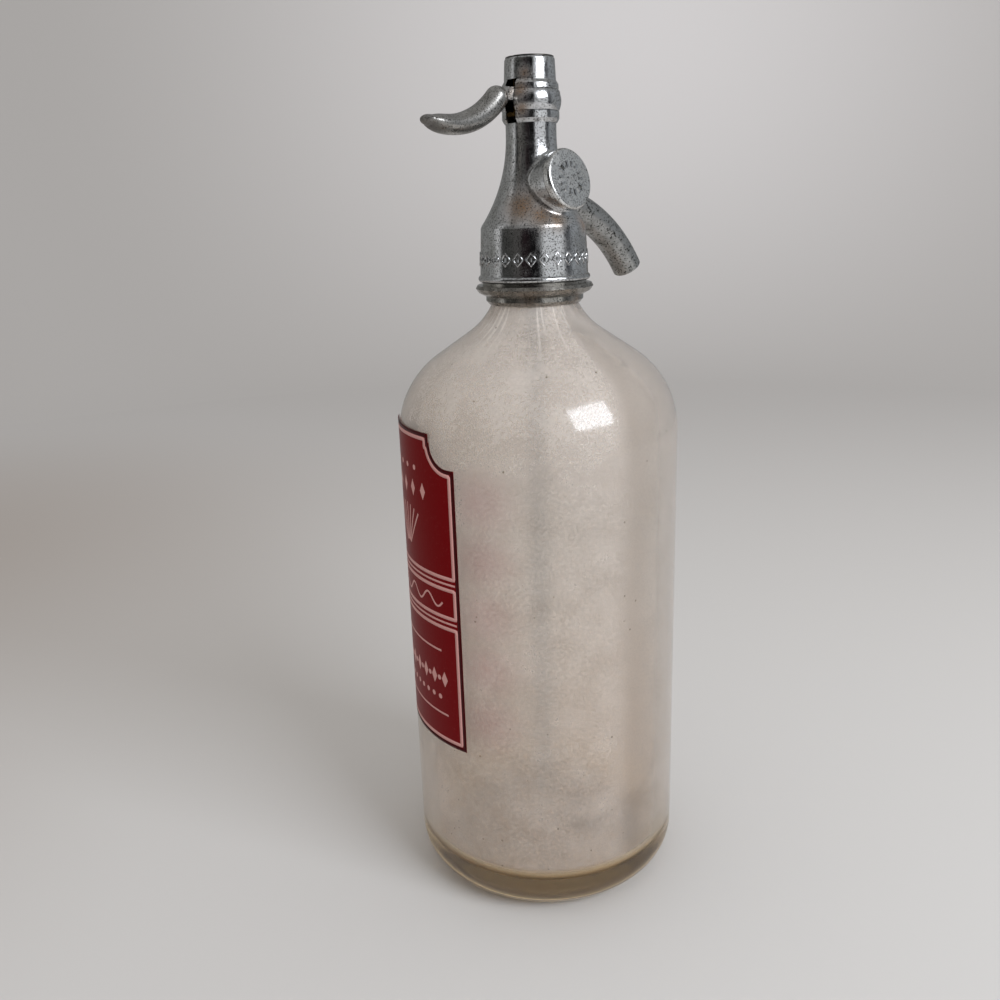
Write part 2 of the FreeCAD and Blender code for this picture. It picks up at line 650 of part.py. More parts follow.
# Top plug: closes the ferrule, with a screwdriver slot across its dome
plug = body("top_plug", f"{SKIRT_FOOT} + {BARREL_TOP}")
PLUG_CROWN = "(plug_rise / 2)"
revolve(plug, "dome", [
    ("0", "-plug_shank"),
    ("ferrule_bore - running_fit", "-plug_shank"),
    ("ferrule_bore - running_fit", "0"),
    ("plug_radius", "0"),
    ("plug_radius", PLUG_CROWN, f"(plug_radius ^ 2 + {PLUG_CROWN} ^ 2) / (2 * {PLUG_CROWN})"),
    ("0", "plug_rise"),
])
drawing = sketch(plug, "XY_Plane", "slot", ("0", "0", "plug_rise"))
outline(drawing, [
    ("-plug_radius", "-plug_slot_width / 2"),
    ("plug_radius", "-plug_slot_width / 2"),
    ("plug_radius", "plug_slot_width / 2"),
    ("-plug_radius", "plug_slot_width / 2"),
])
feature(plug, "Pocket", "slot_cut", drawing, Length="plug_slot_depth")

# Lever: a flat tongue with an eye at its inner end, a round knuckle outside the ferrule,
# and a curved finger pad. The finger's middle line is one arc, and its oval sections
# widen and flatten from the knuckle to the pad.
LEVER_SECTIONS = 6
KNUCKLE_HALF_WIDTH = "(knuckle_half_height + knuckle_oval)"
lever = body("lever", f"{SKIRT_FOOT} + head_height")


def lever_place(angle):
    """Shift and turn of a section at an angle along the finger's arc, on the YZ plane."""
    across = f"-lever_low_reach + lever_arc * sin({angle})"
    up = f"lever_low_height + lever_arc * (1 - cos({angle}))"
    return (("0", up, across), (-1, 0, 0), angle)


def lever_section(name, angle, half_width, half_height):
    shift, axis, turn = lever_place(angle)
    drawing = sketch(lever, "YZ_Plane", name, shift, axis, turn)
    ellipse(drawing, half_width, half_height)
    return drawing


def eased(near, far, share, power):
    """A size that runs from near to far as share goes from 0 to 1, slowly at first for a power over 1."""
    return f"({near} + ({far} - {near}) * {share ** power:.6f})"


sections = []
for index in range(LEVER_SECTIONS):
    share = index / (LEVER_SECTIONS - 1)
    sections.append(lever_section(
        f"section_{index}",
        f"(lever_knuckle_angle * {1 - share:.6f} - lever_tip_angle / 2 * {share:.6f})",
        eased(KNUCKLE_HALF_WIDTH, "pad_half_width", share, 1),
        eased("knuckle_half_height", "pad_half_height", share, 2)))
sections.append(lever_section("section_tip", "(-lever_tip_angle)", "tip_half_width", "tip_half_height"))
feature(lever, "AdditiveLoft", "finger", sections[0], Sections=sections[1:], Ruled=False)
doc.recompute()
for name, angle, half_width, half_height, length, ends in (
        ("knuckle", "lever_knuckle_angle", KNUCKLE_HALF_WIDTH, "knuckle_half_height",
         "knuckle_half_height", (0, 90)),
        ("tip", "(-lever_tip_angle)", "tip_half_width", "tip_half_height", "tip_length", (-90, 0))):
    end = lever.newObject("PartDesign::AdditiveEllipsoid", f"lever_{name}")
    end.AttachmentSupport = (next(f for f in lever.Origin.OriginFeatures if f.Role == "YZ_Plane"), [""])
    end.MapMode = "FlatFace"
    settle(end, *lever_place(angle))
    end.Angle1, end.Angle2 = ends
    end.setExpression("Radius1", words(length))
    end.setExpression("Radius2", words(half_width))
    end.setExpression("Radius3", words(half_height))
    doc.recompute()
KNUCKLE_REACH = "(-lever_low_reach + lever_arc * sin(lever_knuckle_angle))"
TONGUE_FOOT = "(pivot_height - tongue_drop)"
TONGUE_TOP = "(pivot_height + tongue_rise)"
drawing = sketch(lever, "XZ_Plane", "tongue_side")
outline(drawing, [
    (KNUCKLE_REACH, TONGUE_FOOT),
    ("pivot_offset - 2 * eye_radius", TONGUE_FOOT),
    ("pivot_offset", "pivot_height - eye_radius", "eye_radius"),
    ("pivot_offset + eye_radius", "pivot_height", "eye_radius"),
    ("pivot_offset", "pivot_height + eye_radius"),
    ("pivot_offset - 2 * eye_radius", TONGUE_TOP),
    (f"{KNUCKLE_REACH} + cheek_slope", TONGUE_TOP),
    (KNUCKLE_REACH, f"{TONGUE_TOP} - cheek_slope"),
])
feature(lever, "Pad", "tongue", drawing, Length="tongue_width", Midplane=True)
drawing = sketch(lever, "XZ_Plane", "cheek_side")
outline(drawing, [
    (KNUCKLE_REACH, TONGUE_FOOT),
    ("-cheek_edge - cheek_hollow", TONGUE_FOOT, "-cheek_bend"),
    ("-cheek_edge", TONGUE_TOP),
    (f"{KNUCKLE_REACH} + cheek_slope", TONGUE_TOP),
    (KNUCKLE_REACH, f"{TONGUE_TOP} - cheek_slope"),
])
feature(lever, "Pad", "cheek", drawing, Length=CHEEK_WIDTH, Midplane=True)
drawing = sketch(lever, "XZ_Plane", "eye_hole")
circle(drawing, "pivot_offset", "pivot_height", "pivot_pin_radius + running_fit")
feature(lever, "Pocket", "eye_hole_cut", drawing, Length="2 * tongue_width", Midplane=True)

# The two cross pins: the lever's pivot in the ferrule's wall, and the plunger's thrust pin
for name, level, across, radius, length in (
        ("lever_pivot_pin", PIVOT, "pivot_offset", "pivot_pin_radius", "pivot_pin_length"),
        ("thrust_pin", THRUST_PIN, "0", "thrust_pin_radius", "2 * (ferrule_bore - 3 * stem_fit)")):
    pin = body(name, SKIRT_FOOT)
    drawing = sketch(pin, "XZ_Plane", "circle")
    circle(drawing, across, level, radius)
    feature(pin, "Pad", "rod", drawing, Length=length, Midplane=True)

# Plunger: a stem with a slotted head that straddles the lever's tongue
plunger = body("plunger", SKIRT_FOOT)
PLUNGER_RADIUS = "(ferrule_bore - stem_fit)"
revolve(plunger, "turned", [
    ("0", STEM_LOW),
    ("stem_radius", STEM_LOW),
    ("stem_radius", f"{WASHER_TOP} + seat_gap"),
    ("stem_collar_radius", f"{WASHER_TOP} + seat_gap"),
    ("stem_collar_radius", f"{WASHER_TOP} + collar_height"),
    ("stem_radius", f"{WASHER_TOP} + collar_height"),
    ("stem_radius", PLUNGER_LOW),
    (PLUNGER_RADIUS, PLUNGER_LOW),
    (PLUNGER_RADIUS, PLUNGER_TOP),
    ("0", PLUNGER_TOP),
])
drawing = sketch(plunger, "YZ_Plane", "yoke")
YOKE_HALF = "(tongue_width / 2 + yoke_clearance)"
outline(drawing, [
    (f"-{YOKE_HALF}", YOKE_LOW),
    (YOKE_HALF, YOKE_LOW),
    (YOKE_HALF, YOKE_HIGH),
    (f"-{YOKE_HALF}", YOKE_HIGH),
])
feature(plunger, "Pocket", "yoke_cut", drawing, Length="3 * ferrule_bore", Midplane=True)
drawing = sketch(plunger, "XZ_Plane", "pin_hole")
circle(drawing, "0", THRUST_PIN, "thrust_pin_radius + running_fit / 2")
feature(plunger, "Pocket", "pin_hole_cut", drawing, Length="3 * ferrule_bore", Midplane=True)

# Valve: a rubber washer under the seat, held on the stem by a hexagon nut
disc("valve_washer", SKIRT_FOOT, "stem_radius + seat_gap", "valve_washer_radius", WASHER_LOW, WASHER_TOP)
retainer = body("valve_retainer", SKIRT_FOOT)
drawing = sketch(retainer, "XY_Plane", "hexagon", ("0", "0", RETAINER_LOW))
outline(drawing, [
    (f"retainer_flats / sqrt(3) * cos({60 * corner})", f"retainer_flats / sqrt(3) * sin({60 * corner})")
    if corner % 3 else (f"{'-' if corner else ''}retainer_flats / sqrt(3)", "0") for corner in range(6)])
circle(drawing, "0", "0", "stem_radius + seat_gap")
feature(retainer, "Pad", "nut", drawing, Length="retainer_thickness")

seat = body("valve_seat", SKIRT_FOOT)
revolve(seat, "ring", [
    ("seat_bore", SEAT_LEVEL),
    ("seat_nose_radius", SEAT_LEVEL),
    ("seat_nose_radius", f"{SEAT_LEVEL} + seat_nose_height"),
    ("packing_bore - seat_gap", f"{SEAT_LEVEL} + seat_nose_height"),
    ("packing_bore - seat_gap", f"{SEAT_TOP} - seat_gap"),
    ("seat_bore", f"{SEAT_TOP} - seat_gap"),
])

# Packing ring round the stem, and the gland nut that presses it
disc("stem_packing", SKIRT_FOOT, "stem_radius + stem_fit", "packing_bore - stem_fit",
     f"{OUTLET_TOP} + seat_gap", f"{OUTLET_TOP} + seat_gap + packing_thickness")
gland = disc("gland_nut", SKIRT_FOOT, "stem_radius + stem_fit", "packing_bore - seat_gap",
             GLAND_LOW, GLAND_TOP)
drawing = sketch(gland, "XY_Plane", "slot", ("0", "0", GLAND_TOP))
outline(drawing, [
    ("-packing_bore", "-gland_slot / 2"),
    ("packing_bore", "-gland_slot / 2"),
    ("packing_bore", "gland_slot / 2"),
    ("-packing_bore", "gland_slot / 2"),
])
feature(gland, "Pocket", "slot_cut", drawing, Length="gland_slot")


# Return spring: one unbroken wire from the gland nut to the plunger's head
def biarc(start, start_way, end, end_way):
    """Two arcs that leave start and reach end along the given unit directions."""
    chord = end - start
    both = start_way + end_way
    spread = 2 * (1 - start_way.dot(end_way))
    reach = (-chord.dot(both) + math.sqrt(chord.dot(both) ** 2 + spread * chord.dot(chord))) / spread
    middle = (start + end + (start_way - end_way) * reach) / 2
    return [bent(start, start_way, middle), bent(end, -end_way, middle).reversed()]


def bent(start, way, end):
    """The arc that leaves start along a unit direction and ends at end."""
    chord = end - start
    along = FreeCAD.Vector(chord).normalize()
    turn = math.acos(max(-1.0, min(1.0, way.dot(along))))
    aside = (way - along * way.dot(along)).normalize()
    crown = (start + end) / 2 + aside * (chord.Length / 2 * math.tan(turn / 2))
    return Part.Arc(start, crown, end).toShape()


def coil(radius, low, high, turns, steps_per_turn=4):
    """Edges of a right-handed helix about Z, from biarcs of a quarter turn."""
    count = round(turns * steps_per_turn)
    climb = (high - low) / (2 * math.pi * turns)
    places = []
    for step in range(count + 1):
        angle = 2 * math.pi * turns * step / count
        point = FreeCAD.Vector(radius * math.cos(angle), radius * math.sin(angle), low + climb * angle)
        way = FreeCAD.Vector(-radius * math.sin(angle), radius * math.cos(angle), climb).normalize()
        places.append((point, way))
    edges = []
    for (start, start_way), (end, end_way) in zip(places, places[1:]):
        edges += biarc(start, start_way, end, end_way)
    return edges


def least_gap(edges, turns, wire):
    """Least clear distance between turns, measured on points along the wire's middle."""
    points = [point for edge in edges for point in edge.discretize(6)]
    apart = round(len(points) / turns / 2)
    gaps = [(points[i] - points[j]).Length for i in range(len(points))
            for j in range(i + apart, len(points))]
    return min(gaps) - wire


wire = value("spring_wire")
turns = value("spring_turns")
spring_low = value(f"{GLAND_TOP} + seat_gap") + wire / 2
spring_high = value(f"{PLUNGER_LOW} - seat_gap") - wire / 2
edges = coil(value("spring_radius"), spring_low, spring_high, turns)
start = edges[0].valueAt(edges[0].FirstParameter)
way = edges[0].tangentAt(edges[0].FirstParameter)
section = Part.Wire(Part.makeCircle(wire / 2, start, way))
spring = doc.addObject("Part::Feature", "plunger_spring")
spring.Label = "plunger_spring"
spring.Shape = Part.Wire(edges).makePipeShell([section], True, False)
spring.Placement.Base.z = value(SKIRT_FOOT)
length = sum(edge.Length for edge in edges)
print(f"spring: least gap {least_gap(edges, turns, wire):.2f} mm,"
      f" volume {spring.Shape.Volume:.1f} of {math.pi * wire ** 2 / 4 * length:.1f} mm3")

# Dip tube, the rubber sleeve that grips it, and the holder screwed up into the head
HOLDER_LOW = f"({CEILING} - holder_drop)"
HOLDER_TOP = f"({CEILING} + holder_rise)"
SLEEVE_RADIUS = "(tube_radius + sleeve_thickness + soft_gap)"
holder = body("tube_holder", SKIRT_FOOT)
revolve(holder, "cup", [
    ("tube_radius + tube_clearance", HOLDER_LOW),
    (f"{HOLDER_RADIUS} - holder_step", HOLDER_LOW),
    (f"{HOLDER_RADIUS} - holder_step", f"{HOLDER_LOW} + holder_lip"),
    (HOLDER_RADIUS, f"{HOLDER_LOW} + 2 * holder_lip"),
    (HOLDER_RADIUS, HOLDER_TOP),
    (f"{SLEEVE_RADIUS} + soft_gap", HOLDER_TOP),
    (f"{SLEEVE_RADIUS} + soft_gap", f"{HOLDER_LOW} + holder_lip"),
    ("tube_radius + tube_clearance", f"{HOLDER_LOW} + holder_lip"),
])
disc("tube_sleeve", SKIRT_FOOT, "tube_radius + soft_gap", SLEEVE_RADIUS,
     f"{HOLDER_LOW} + holder_lip + seat_gap", f"{HOLDER_TOP} - soft_gap")
tube = body("dip_tube")
TUBE_FOOT = "(base_thickness + punt_depth + tube_foot_gap)"
revolve(tube, "wall", [
    ("tube_bore", TUBE_FOOT),
    ("tube_radius", TUBE_FOOT),
    ("tube_radius", f"{SKIRT_FOOT} + {HOLDER_TOP} - 2 * soft_gap"),
    ("tube_bore", f"{SKIRT_FOOT} + {HOLDER_TOP} - 2 * soft_gap"),
])
drawing = sketch(tube, "XZ_Plane", "slant")
outline(drawing, [
    ("-2 * tube_radius", f"{TUBE_FOOT} - tube_radius"),
    ("2 * tube_radius", f"{TUBE_FOOT} - tube_radius"),
    ("2 * tube_radius", f"{TUBE_FOOT} + 3 * tube_radius * tan(tube_slant)"),
    ("-tube_radius", TUBE_FOOT),
    ("-2 * tube_radius", TUBE_FOOT),
])
feature(tube, "Pocket", "slant_cut", drawing, Length="4 * tube_radius", Midplane=True)

# Check every object, then write one file for each piece
doc.recompute()
for thing in doc.Objects:
    if "Invalid" in thing.State or "Error" in thing.State:
        raise RuntimeError(f"{thing.Name}: {thing.State}")
pieces = [thing for thing in doc.Objects if thing.isDerivedFrom("PartDesign::Body")] + [spring]
os.makedirs("parts", exist_ok=True)
for piece in pieces:
    shape = piece.Shape
    if shape.isNull() or not shape.isValid() or len(shape.Solids) != 1:
        raise RuntimeError(f"{piece.Label} is not one valid solid")
    shape.exportStep(f"parts/{piece.Label}.step")
    box = shape.optimalBoundingBox()
    print(f"{piece.Label:18s} {shape.Volume:10.1f} mm3  z {box.ZMin:7.2f} to {box.ZMax:7.2f}")
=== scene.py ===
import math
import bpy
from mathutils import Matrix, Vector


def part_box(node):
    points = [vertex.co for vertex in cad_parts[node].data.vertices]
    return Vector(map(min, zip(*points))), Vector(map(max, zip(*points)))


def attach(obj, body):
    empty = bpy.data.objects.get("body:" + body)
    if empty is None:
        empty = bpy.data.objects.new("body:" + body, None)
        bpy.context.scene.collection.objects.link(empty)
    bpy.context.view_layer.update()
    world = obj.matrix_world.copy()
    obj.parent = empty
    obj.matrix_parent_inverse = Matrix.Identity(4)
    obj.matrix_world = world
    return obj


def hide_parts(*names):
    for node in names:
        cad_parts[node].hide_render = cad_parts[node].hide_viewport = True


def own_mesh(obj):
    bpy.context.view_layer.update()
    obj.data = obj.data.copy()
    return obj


bl_info = {
    "name": "Soda Siphon",
    "version": (1, 0, 0),
    "blender": (4, 5, 0),
    "location": "3D View > Sidebar > Siphon",
    "description": "Dresses a soda siphon's solids in worn glass, plated metal and a printed label",
    "category": "Object",
}

import bmesh
import bpy
from bpy.props import FloatProperty, IntProperty, PointerProperty, StringProperty
from mathutils import Matrix, Vector

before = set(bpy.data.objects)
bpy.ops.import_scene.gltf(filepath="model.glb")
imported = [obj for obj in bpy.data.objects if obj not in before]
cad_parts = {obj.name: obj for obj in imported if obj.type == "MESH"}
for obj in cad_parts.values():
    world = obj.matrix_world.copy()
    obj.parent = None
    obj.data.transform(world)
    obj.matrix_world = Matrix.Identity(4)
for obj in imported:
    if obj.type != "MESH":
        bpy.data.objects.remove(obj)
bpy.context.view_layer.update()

MM = 0.001
BODY_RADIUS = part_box("glass_bottle")[1].x
# The label's middle, turned from +X towards +Y
LABEL_ANGLE = math.radians(156.5)
# Printed ink in millimetres: the field's outer face above the glass and its thickness,
# then the middle of the lines above the glass and their thickness
FIELD_LIFT, FIELD_THICKNESS = 0.05, 0.07
LINE_LIFT, LINE_THICKNESS = 0.06, 0.05
# The camera's direction from the object, in degrees from +X towards +Y
CAMERA_TURN = 224.5


# Helpers

def paint(code):
    """A linear colour from an sRGB hex value."""
    channels = [int(code.lstrip("#")[i:i + 2], 16) / 255 for i in (0, 2, 4)]
    return (*[c / 12.92 if c <= 0.04045 else ((c + 0.055) / 1.055) ** 2.4 for c in channels], 1.0)


def add(tree, kind, inputs=None, **settings):
    """One node with its settings, and its inputs as values or as links."""
    made = tree.nodes.new(kind)
    for name, setting in settings.items():
        setattr(made, name, setting)
    for name, entry in (inputs or {}).items():
        if isinstance(entry, bpy.types.NodeSocket):
            tree.links.new(entry, made.inputs[name])
        else:
            made.inputs[name].default_value = entry
    return made


def surface(name):
    """An empty material with its shader and the place on the object in metres."""
    material = bpy.data.materials.new(name)
    material.use_nodes = True
    tree = material.node_tree
    tree.nodes.clear()
    shader = add(tree, "ShaderNodeBsdfPrincipled")
    add(tree, "ShaderNodeOutputMaterial", {"Surface": shader.outputs[0]})
    place = add(tree, "ShaderNodeTexCoord").outputs["Object"]
    return material, tree, shader, place


def link(tree, output, shader, name):
    """Feeds one of the shader's inputs from another node."""
    tree.links.new(output, shader.inputs[name])


def spots(tree, place, centres):
    """A mask that is 1 at each centre and falls to 0 at its radius. Sizes in millimetres."""
    total = None
    for x, y, z, radius in centres:
        centre = (x * MM, y * MM, z * MM)
        away = add(tree, "ShaderNodeVectorMath", {0: place, 1: centre}, operation="DISTANCE")
        near = add(tree, "ShaderNodeMapRange", {
            "Value": away.outputs["Value"], "From Min": radius * MM, "From Max": 0.0,
        }, interpolation_type="SMOOTHSTEP")
        if total is None:
            total = near.outputs[0]
            continue
        larger = add(tree, "ShaderNodeMath", {0: total, 1: near.outputs[0]}, operation="MAXIMUM")
        total = larger.outputs[0]
    return total


def clear_shaded_side(tree, place, wobble):
    """A mask that is 1 on the bottle's side below the cap, where the haze is thinned so that side shows
    darker, a painted shade.

    Its limits are in radians about Z, where -pi / 2 is the cap's side, and wobble makes them uneven.
    """
    parts = add(tree, "ShaderNodeSeparateXYZ", {0: place})
    angle = add(tree, "ShaderNodeMath", {0: parts.outputs["Y"], 1: parts.outputs["X"]}, operation="ARCTAN2")
    uneven = add(tree, "ShaderNodeMath", {0: wobble, 1: 0.3, 2: angle.outputs[0]}, operation="MULTIPLY_ADD")
    begin = add(tree, "ShaderNodeMapRange", {
        "Value": uneven.outputs[0], "From Min": -1.72, "From Max": -1.50}, interpolation_type="SMOOTHSTEP")
    end = add(tree, "ShaderNodeMapRange", {
        "Value": uneven.outputs[0], "From Min": -0.35, "From Max": -0.80}, interpolation_type="SMOOTHSTEP")
    mask = add(tree, "ShaderNodeMath", {0: begin.outputs[0], 1: end.outputs[0]}, operation="MULTIPLY")
    return mask.outputs[0]


# Finishes

def plated_metal(name, clean, dull, tarnish_and_shade_colour=None, tarnish_and_shade_spots=(), roughness=(0.10, 0.30), pit=0.45, wear=0.5):
    """Cast metal with worn bright plating: hard reflections broken by pits, grey where the
    plating has thinned, and dark spots: brown tarnished plating, and painted shade where another part
    shades the metal or a face turns from the light.

    The spots are centres and radii in millimetres, pit is the size of the pits in
    millimetres, and wear is the most that the dull colour shows.
    """
    material, tree, shader, place = surface(name)
    patches = add(tree, "ShaderNodeTexNoise", {
        "Vector": place, "Scale": 1 / (5 * MM), "Detail": 5.0, "Roughness": 0.65})
    worn = add(tree, "ShaderNodeMapRange", {
        "Value": patches.outputs[0], "From Min": 0.42, "From Max": 0.66})
    # Pits show as fine dark specks in the reflections
    pits = add(tree, "ShaderNodeTexNoise", {
        "Vector": place, "Scale": 1 / (pit * MM), "Detail": 2.0, "Roughness": 0.6})
    deep = add(tree, "ShaderNodeMapRange", {
        "Value": pits.outputs[0], "From Min": 0.36, "From Max": 0.46})
    worn_share = add(tree, "ShaderNodeMath", {0: worn.outputs[0], 1: wear}, operation="MULTIPLY")
    metal = add(tree, "ShaderNodeMix", {
        0: worn_share.outputs[0], 6: paint(clean), 7: paint(dull)}, data_type="RGBA")
    pitted = add(tree, "ShaderNodeMix", {
        0: deep.outputs[0], 6: paint("#2E2C29"), 7: metal.outputs[2]}, data_type="RGBA")
    colour, rough = pitted.outputs[2], worn.outputs[0]
    bright = None
    if tarnish_and_shade_spots:
        # Tarnished spots, and painted shade where another part shades the metal, broken up by the pits'
        # noise
        tarnish_and_shade_grain = add(tree, "ShaderNodeMapRange", {
            "Value": pits.outputs[0], "From Min": 0.30, "From Max": 0.62, "To Min": 0.35})
        mask = add(tree, "ShaderNodeMath", {
            0: spots(tree, place, tarnish_and_shade_spots), 1: tarnish_and_shade_grain.outputs[0]}, operation="MULTIPLY")
        tarnished_and_shaded = add(tree, "ShaderNodeMix", {
            0: mask.outputs[0], 6: colour, 7: paint(tarnish_and_shade_colour)}, data_type="RGBA")
        colour = tarnished_and_shaded.outputs[2]
        rough = add(tree, "ShaderNodeMath", {0: rough, 1: mask.outputs[0]}, operation="MAXIMUM").outputs[0]
        bright = add(tree, "ShaderNodeMapRange", {"Value": mask.outputs[0], "To Min": 1.0, "To Max": 0.45})
    link(tree, colour, shader, "Base Color")
    gloss = add(tree, "ShaderNodeMapRange", {
        "Value": rough, "To Min": roughness[0], "To Max": roughness[1]})
    link(tree, gloss.outputs[0], shader, "Roughness")
    if bright:
        link(tree, bright.outputs[0], shader, "Metallic")
    else:
        shader.inputs["Metallic"].default_value = 1.0
    relief = add(tree, "ShaderNodeBump", {
        "Height": pits.outputs[0], "Strength": 0.35, "Distance": 0.06 * MM})
    link(tree, relief.outputs[0], shader, "Normal")
    return material


def etched_glass(name, tint, haze, clear_below):
    """Soda-lime glass gone hazy outside: a milky bloom in patches, clear in the thick heel."""
    material, tree, shader, place = surface(name)
    shader.inputs["IOR"].default_value = 1.5
    height = add(tree, "ShaderNodeSeparateXYZ", {0: place}).outputs["Z"]
    above = add(tree, "ShaderNodeMapRange", {
        "Value": height, "From Min": clear_below, "From Max": clear_below + 5 * MM,
    }, interpolation_type="SMOOTHSTEP")
    cloud = add(tree, "ShaderNodeTexNoise", {
        "Vector": place, "Scale": 1 / (14 * MM), "Detail": 6.0, "Roughness": 0.62})
    # Etching grain, drawn at 0.8 mm so that it shows
    grain = add(tree, "ShaderNodeTexNoise", {
        "Vector": place, "Scale": 1 / (0.8 * MM), "Detail": 3.0, "Roughness": 0.7})
    bloom = add(tree, "ShaderNodeMapRange", {
        "Value": cloud.outputs[0], "From Min": 0.30, "From Max": 0.75,
        "To Min": haze[0], "To Max": haze[1]})
    speckle = add(tree, "ShaderNodeMapRange", {
        "Value": grain.outputs[0], "From Min": 0.40, "From Max": 0.62, "To Min": -0.04, "To Max": 0.05})
    # Pale scratches run down from the collar: the noise is fine round the glass and long in height
    parts = add(tree, "ShaderNodeSeparateXYZ", {0: place})
    angle = add(tree, "ShaderNodeMath", {0: parts.outputs["Y"], 1: parts.outputs["X"]}, operation="ARCTAN2")
    unrolled = add(tree, "ShaderNodeCombineXYZ", {0: angle.outputs[0], 2: height})
    stretched = add(tree, "ShaderNodeVectorMath", {
        0: unrolled.outputs[0], 1: (9, 1, 1 / (30 * MM))}, operation="MULTIPLY")
    rays = add(tree, "ShaderNodeTexNoise", {"Vector": stretched.outputs[0], "Scale": 1.6, "Detail": 2.0})
    ray = add(tree, "ShaderNodeMapRange", {
        "Value": rays.outputs[0], "From Min": 0.56, "From Max": 0.68, "To Max": 0.4})
    near = spots(tree, place, [(0, 0, 208, 42)])
    streak = add(tree, "ShaderNodeMath", {0: ray.outputs[0], 1: near}, operation="MULTIPLY")
    total = add(tree, "ShaderNodeMath", {0: bloom.outputs[0], 1: speckle.outputs[0]}, operation="ADD")
    whole = add(tree, "ShaderNodeMath", {0: total.outputs[0], 1: streak.outputs[0]}, operation="ADD")
    # Painted light: the shoulder is made milkier so that it shows lighter, as top light from the room makes
    # it. Painted shade: the side below the cap is made clearer so that it shows darker.
    upper = add(tree, "ShaderNodeMapRange", {
        "Value": height, "From Min": 150 * MM, "From Max": 195 * MM, "To Max": 0.10,
    }, interpolation_type="SMOOTHSTEP")
    raised = add(tree, "ShaderNodeMath", {0: whole.outputs[0], 1: upper.outputs[0]}, operation="ADD")
    side = clear_shaded_side(tree, place, cloud.outputs[0])
    shaded_side_thinning = add(tree, "ShaderNodeMapRange", {"Value": side, "To Min": 1.0, "To Max": 0.5})
    kept = add(tree, "ShaderNodeMath", {0: raised.outputs[0], 1: shaded_side_thinning.outputs[0]}, operation="MULTIPLY")
    milk = add(tree, "ShaderNodeMath", {0: kept.outputs[0], 1: above.outputs[0]}, operation="MULTIPLY")
    clear = add(tree, "ShaderNodeMath", {0: 1.0, 1: milk.outputs[0]}, operation="SUBTRACT")
    link(tree, clear.outputs[0], shader, "Transmission Weight")
    # Small dark bits baked on the surface, one in a few cells of 2.5 mm
    cells = add(tree, "ShaderNodeTexVoronoi", {"Vector": place, "Scale": 1 / (2.5 * MM), "Randomness": 1.0})
    few = add(tree, "ShaderNodeSeparateColor", {0: cells.outputs["Color"]})
    chosen = add(tree, "ShaderNodeMath", {0: few.outputs[0], 1: 0.93}, operation="GREATER_THAN")
    dot = add(tree, "ShaderNodeMath", {0: cells.outputs["Distance"], 1: 0.14}, operation="LESS_THAN")
    bit = add(tree, "ShaderNodeMath", {0: chosen.outputs[0], 1: dot.outputs[0]}, operation="MULTIPLY")
    bits = add(tree, "ShaderNodeMath", {0: bit.outputs[0], 1: above.outputs[0]}, operation="MULTIPLY")
    # The thick clear heel gathers an amber tint
    body = add(tree, "ShaderNodeMix", {
        0: above.outputs[0], 6: paint("#E2C592"), 7: paint(tint)}, data_type="RGBA")
    colour = add(tree, "ShaderNodeMix", {
        0: bits.outputs[0], 6: body.outputs[2], 7: paint("#6B5D4A")}, data_type="RGBA")
    link(tree, colour.outputs[2], shader, "Base Color")
    rough = add(tree, "ShaderNodeMapRange", {
        "Value": grain.outputs[0], "From Min": 0.35, "From Max": 0.65, "To Min": 0.05, "To Max": 0.17})
    rough_above = add(tree, "ShaderNodeMath", {
        0: rough.outputs[0], 1: above.outputs[0]}, operation="MULTIPLY")
    link(tree, rough_above.outputs[0], shader, "Roughness")
    relief = add(tree, "ShaderNodeBump", {
        "Height": cloud.outputs[0], "Strength": 0.12, "Distance": 0.2 * MM})
    link(tree, relief.outputs[0], shader, "Normal")
    return material


def inner_bloom(name, tint, transmission, roughness):
    """The bottle's inside, frosted by scale from the water: milky and soft."""
    material, tree, shader, place = surface(name)
    shader.inputs["IOR"].default_value = 1.5
    cloud = add(tree, "ShaderNodeTexNoise", {
        "Vector": place, "Scale": 1 / (22 * MM), "Detail": 3.0, "Roughness": 0.5})
    clear = add(tree, "ShaderNodeMapRange", {
        "Value": cloud.outputs[0], "From Min": 0.35, "From Max": 0.65,
        "To Min": transmission[0], "To Max": transmission[1]})
    # Painted shade: more shows through on the side below the cap, so that side shows darker
    side = clear_shaded_side(tree, place, cloud.outputs[0])
    shaded_side_opening = add(tree, "ShaderNodeMix", {0: side, 2: clear.outputs[0], 3: 0.84})
    link(tree, shaded_side_opening.outputs[0], shader, "Transmission Weight")
    # The film is tan low down and paler towards the shoulder
    height = add(tree, "ShaderNodeSeparateXYZ", {0: place}).outputs["Z"]
    level = add(tree, "ShaderNodeMapRange", {
        "Value": height, "From Min": 20 * MM, "From Max": 150 * MM}, interpolation_type="SMOOTHSTEP")
    scale = add(tree, "ShaderNodeMix", {
        0: level.outputs[0], 6: paint("#ECD9C4"), 7: paint(tint)}, data_type="RGBA")
    # A tan deposit low on the side that faces the spout and the cap
    film = add(tree, "ShaderNodeMapRange", {
        "Value": cloud.outputs[0], "From Min": 0.45, "From Max": 0.60})
    patch = spots(tree, place, [(6, -43, 42, 20), (22, -37, 44, 14), (-18, -40, 42, 16)])
    deposit = add(tree, "ShaderNodeMath", {0: film.outputs[0], 1: patch}, operation="MULTIPLY")
    colour = add(tree, "ShaderNodeMix", {
        0: deposit.outputs[0], 6: scale.outputs[2], 7: paint("#A58A66")}, data_type="RGBA")
    # A rosy tint on the film beside the label
    rosy = spots(tree, place, [(-41, -14, level, 17) for level in (76, 96, 116, 136, 156)])
    thin = add(tree, "ShaderNodeMath", {0: rosy, 1: 0.6}, operation="MULTIPLY")
    blushed = add(tree, "ShaderNodeMix", {
        0: thin.outputs[0], 6: colour.outputs[2], 7: paint("#D98C94")}, data_type="RGBA")
    link(tree, blushed.outputs[2], shader, "Base Color")
    shader.inputs["Roughness"].default_value = roughness
    return material


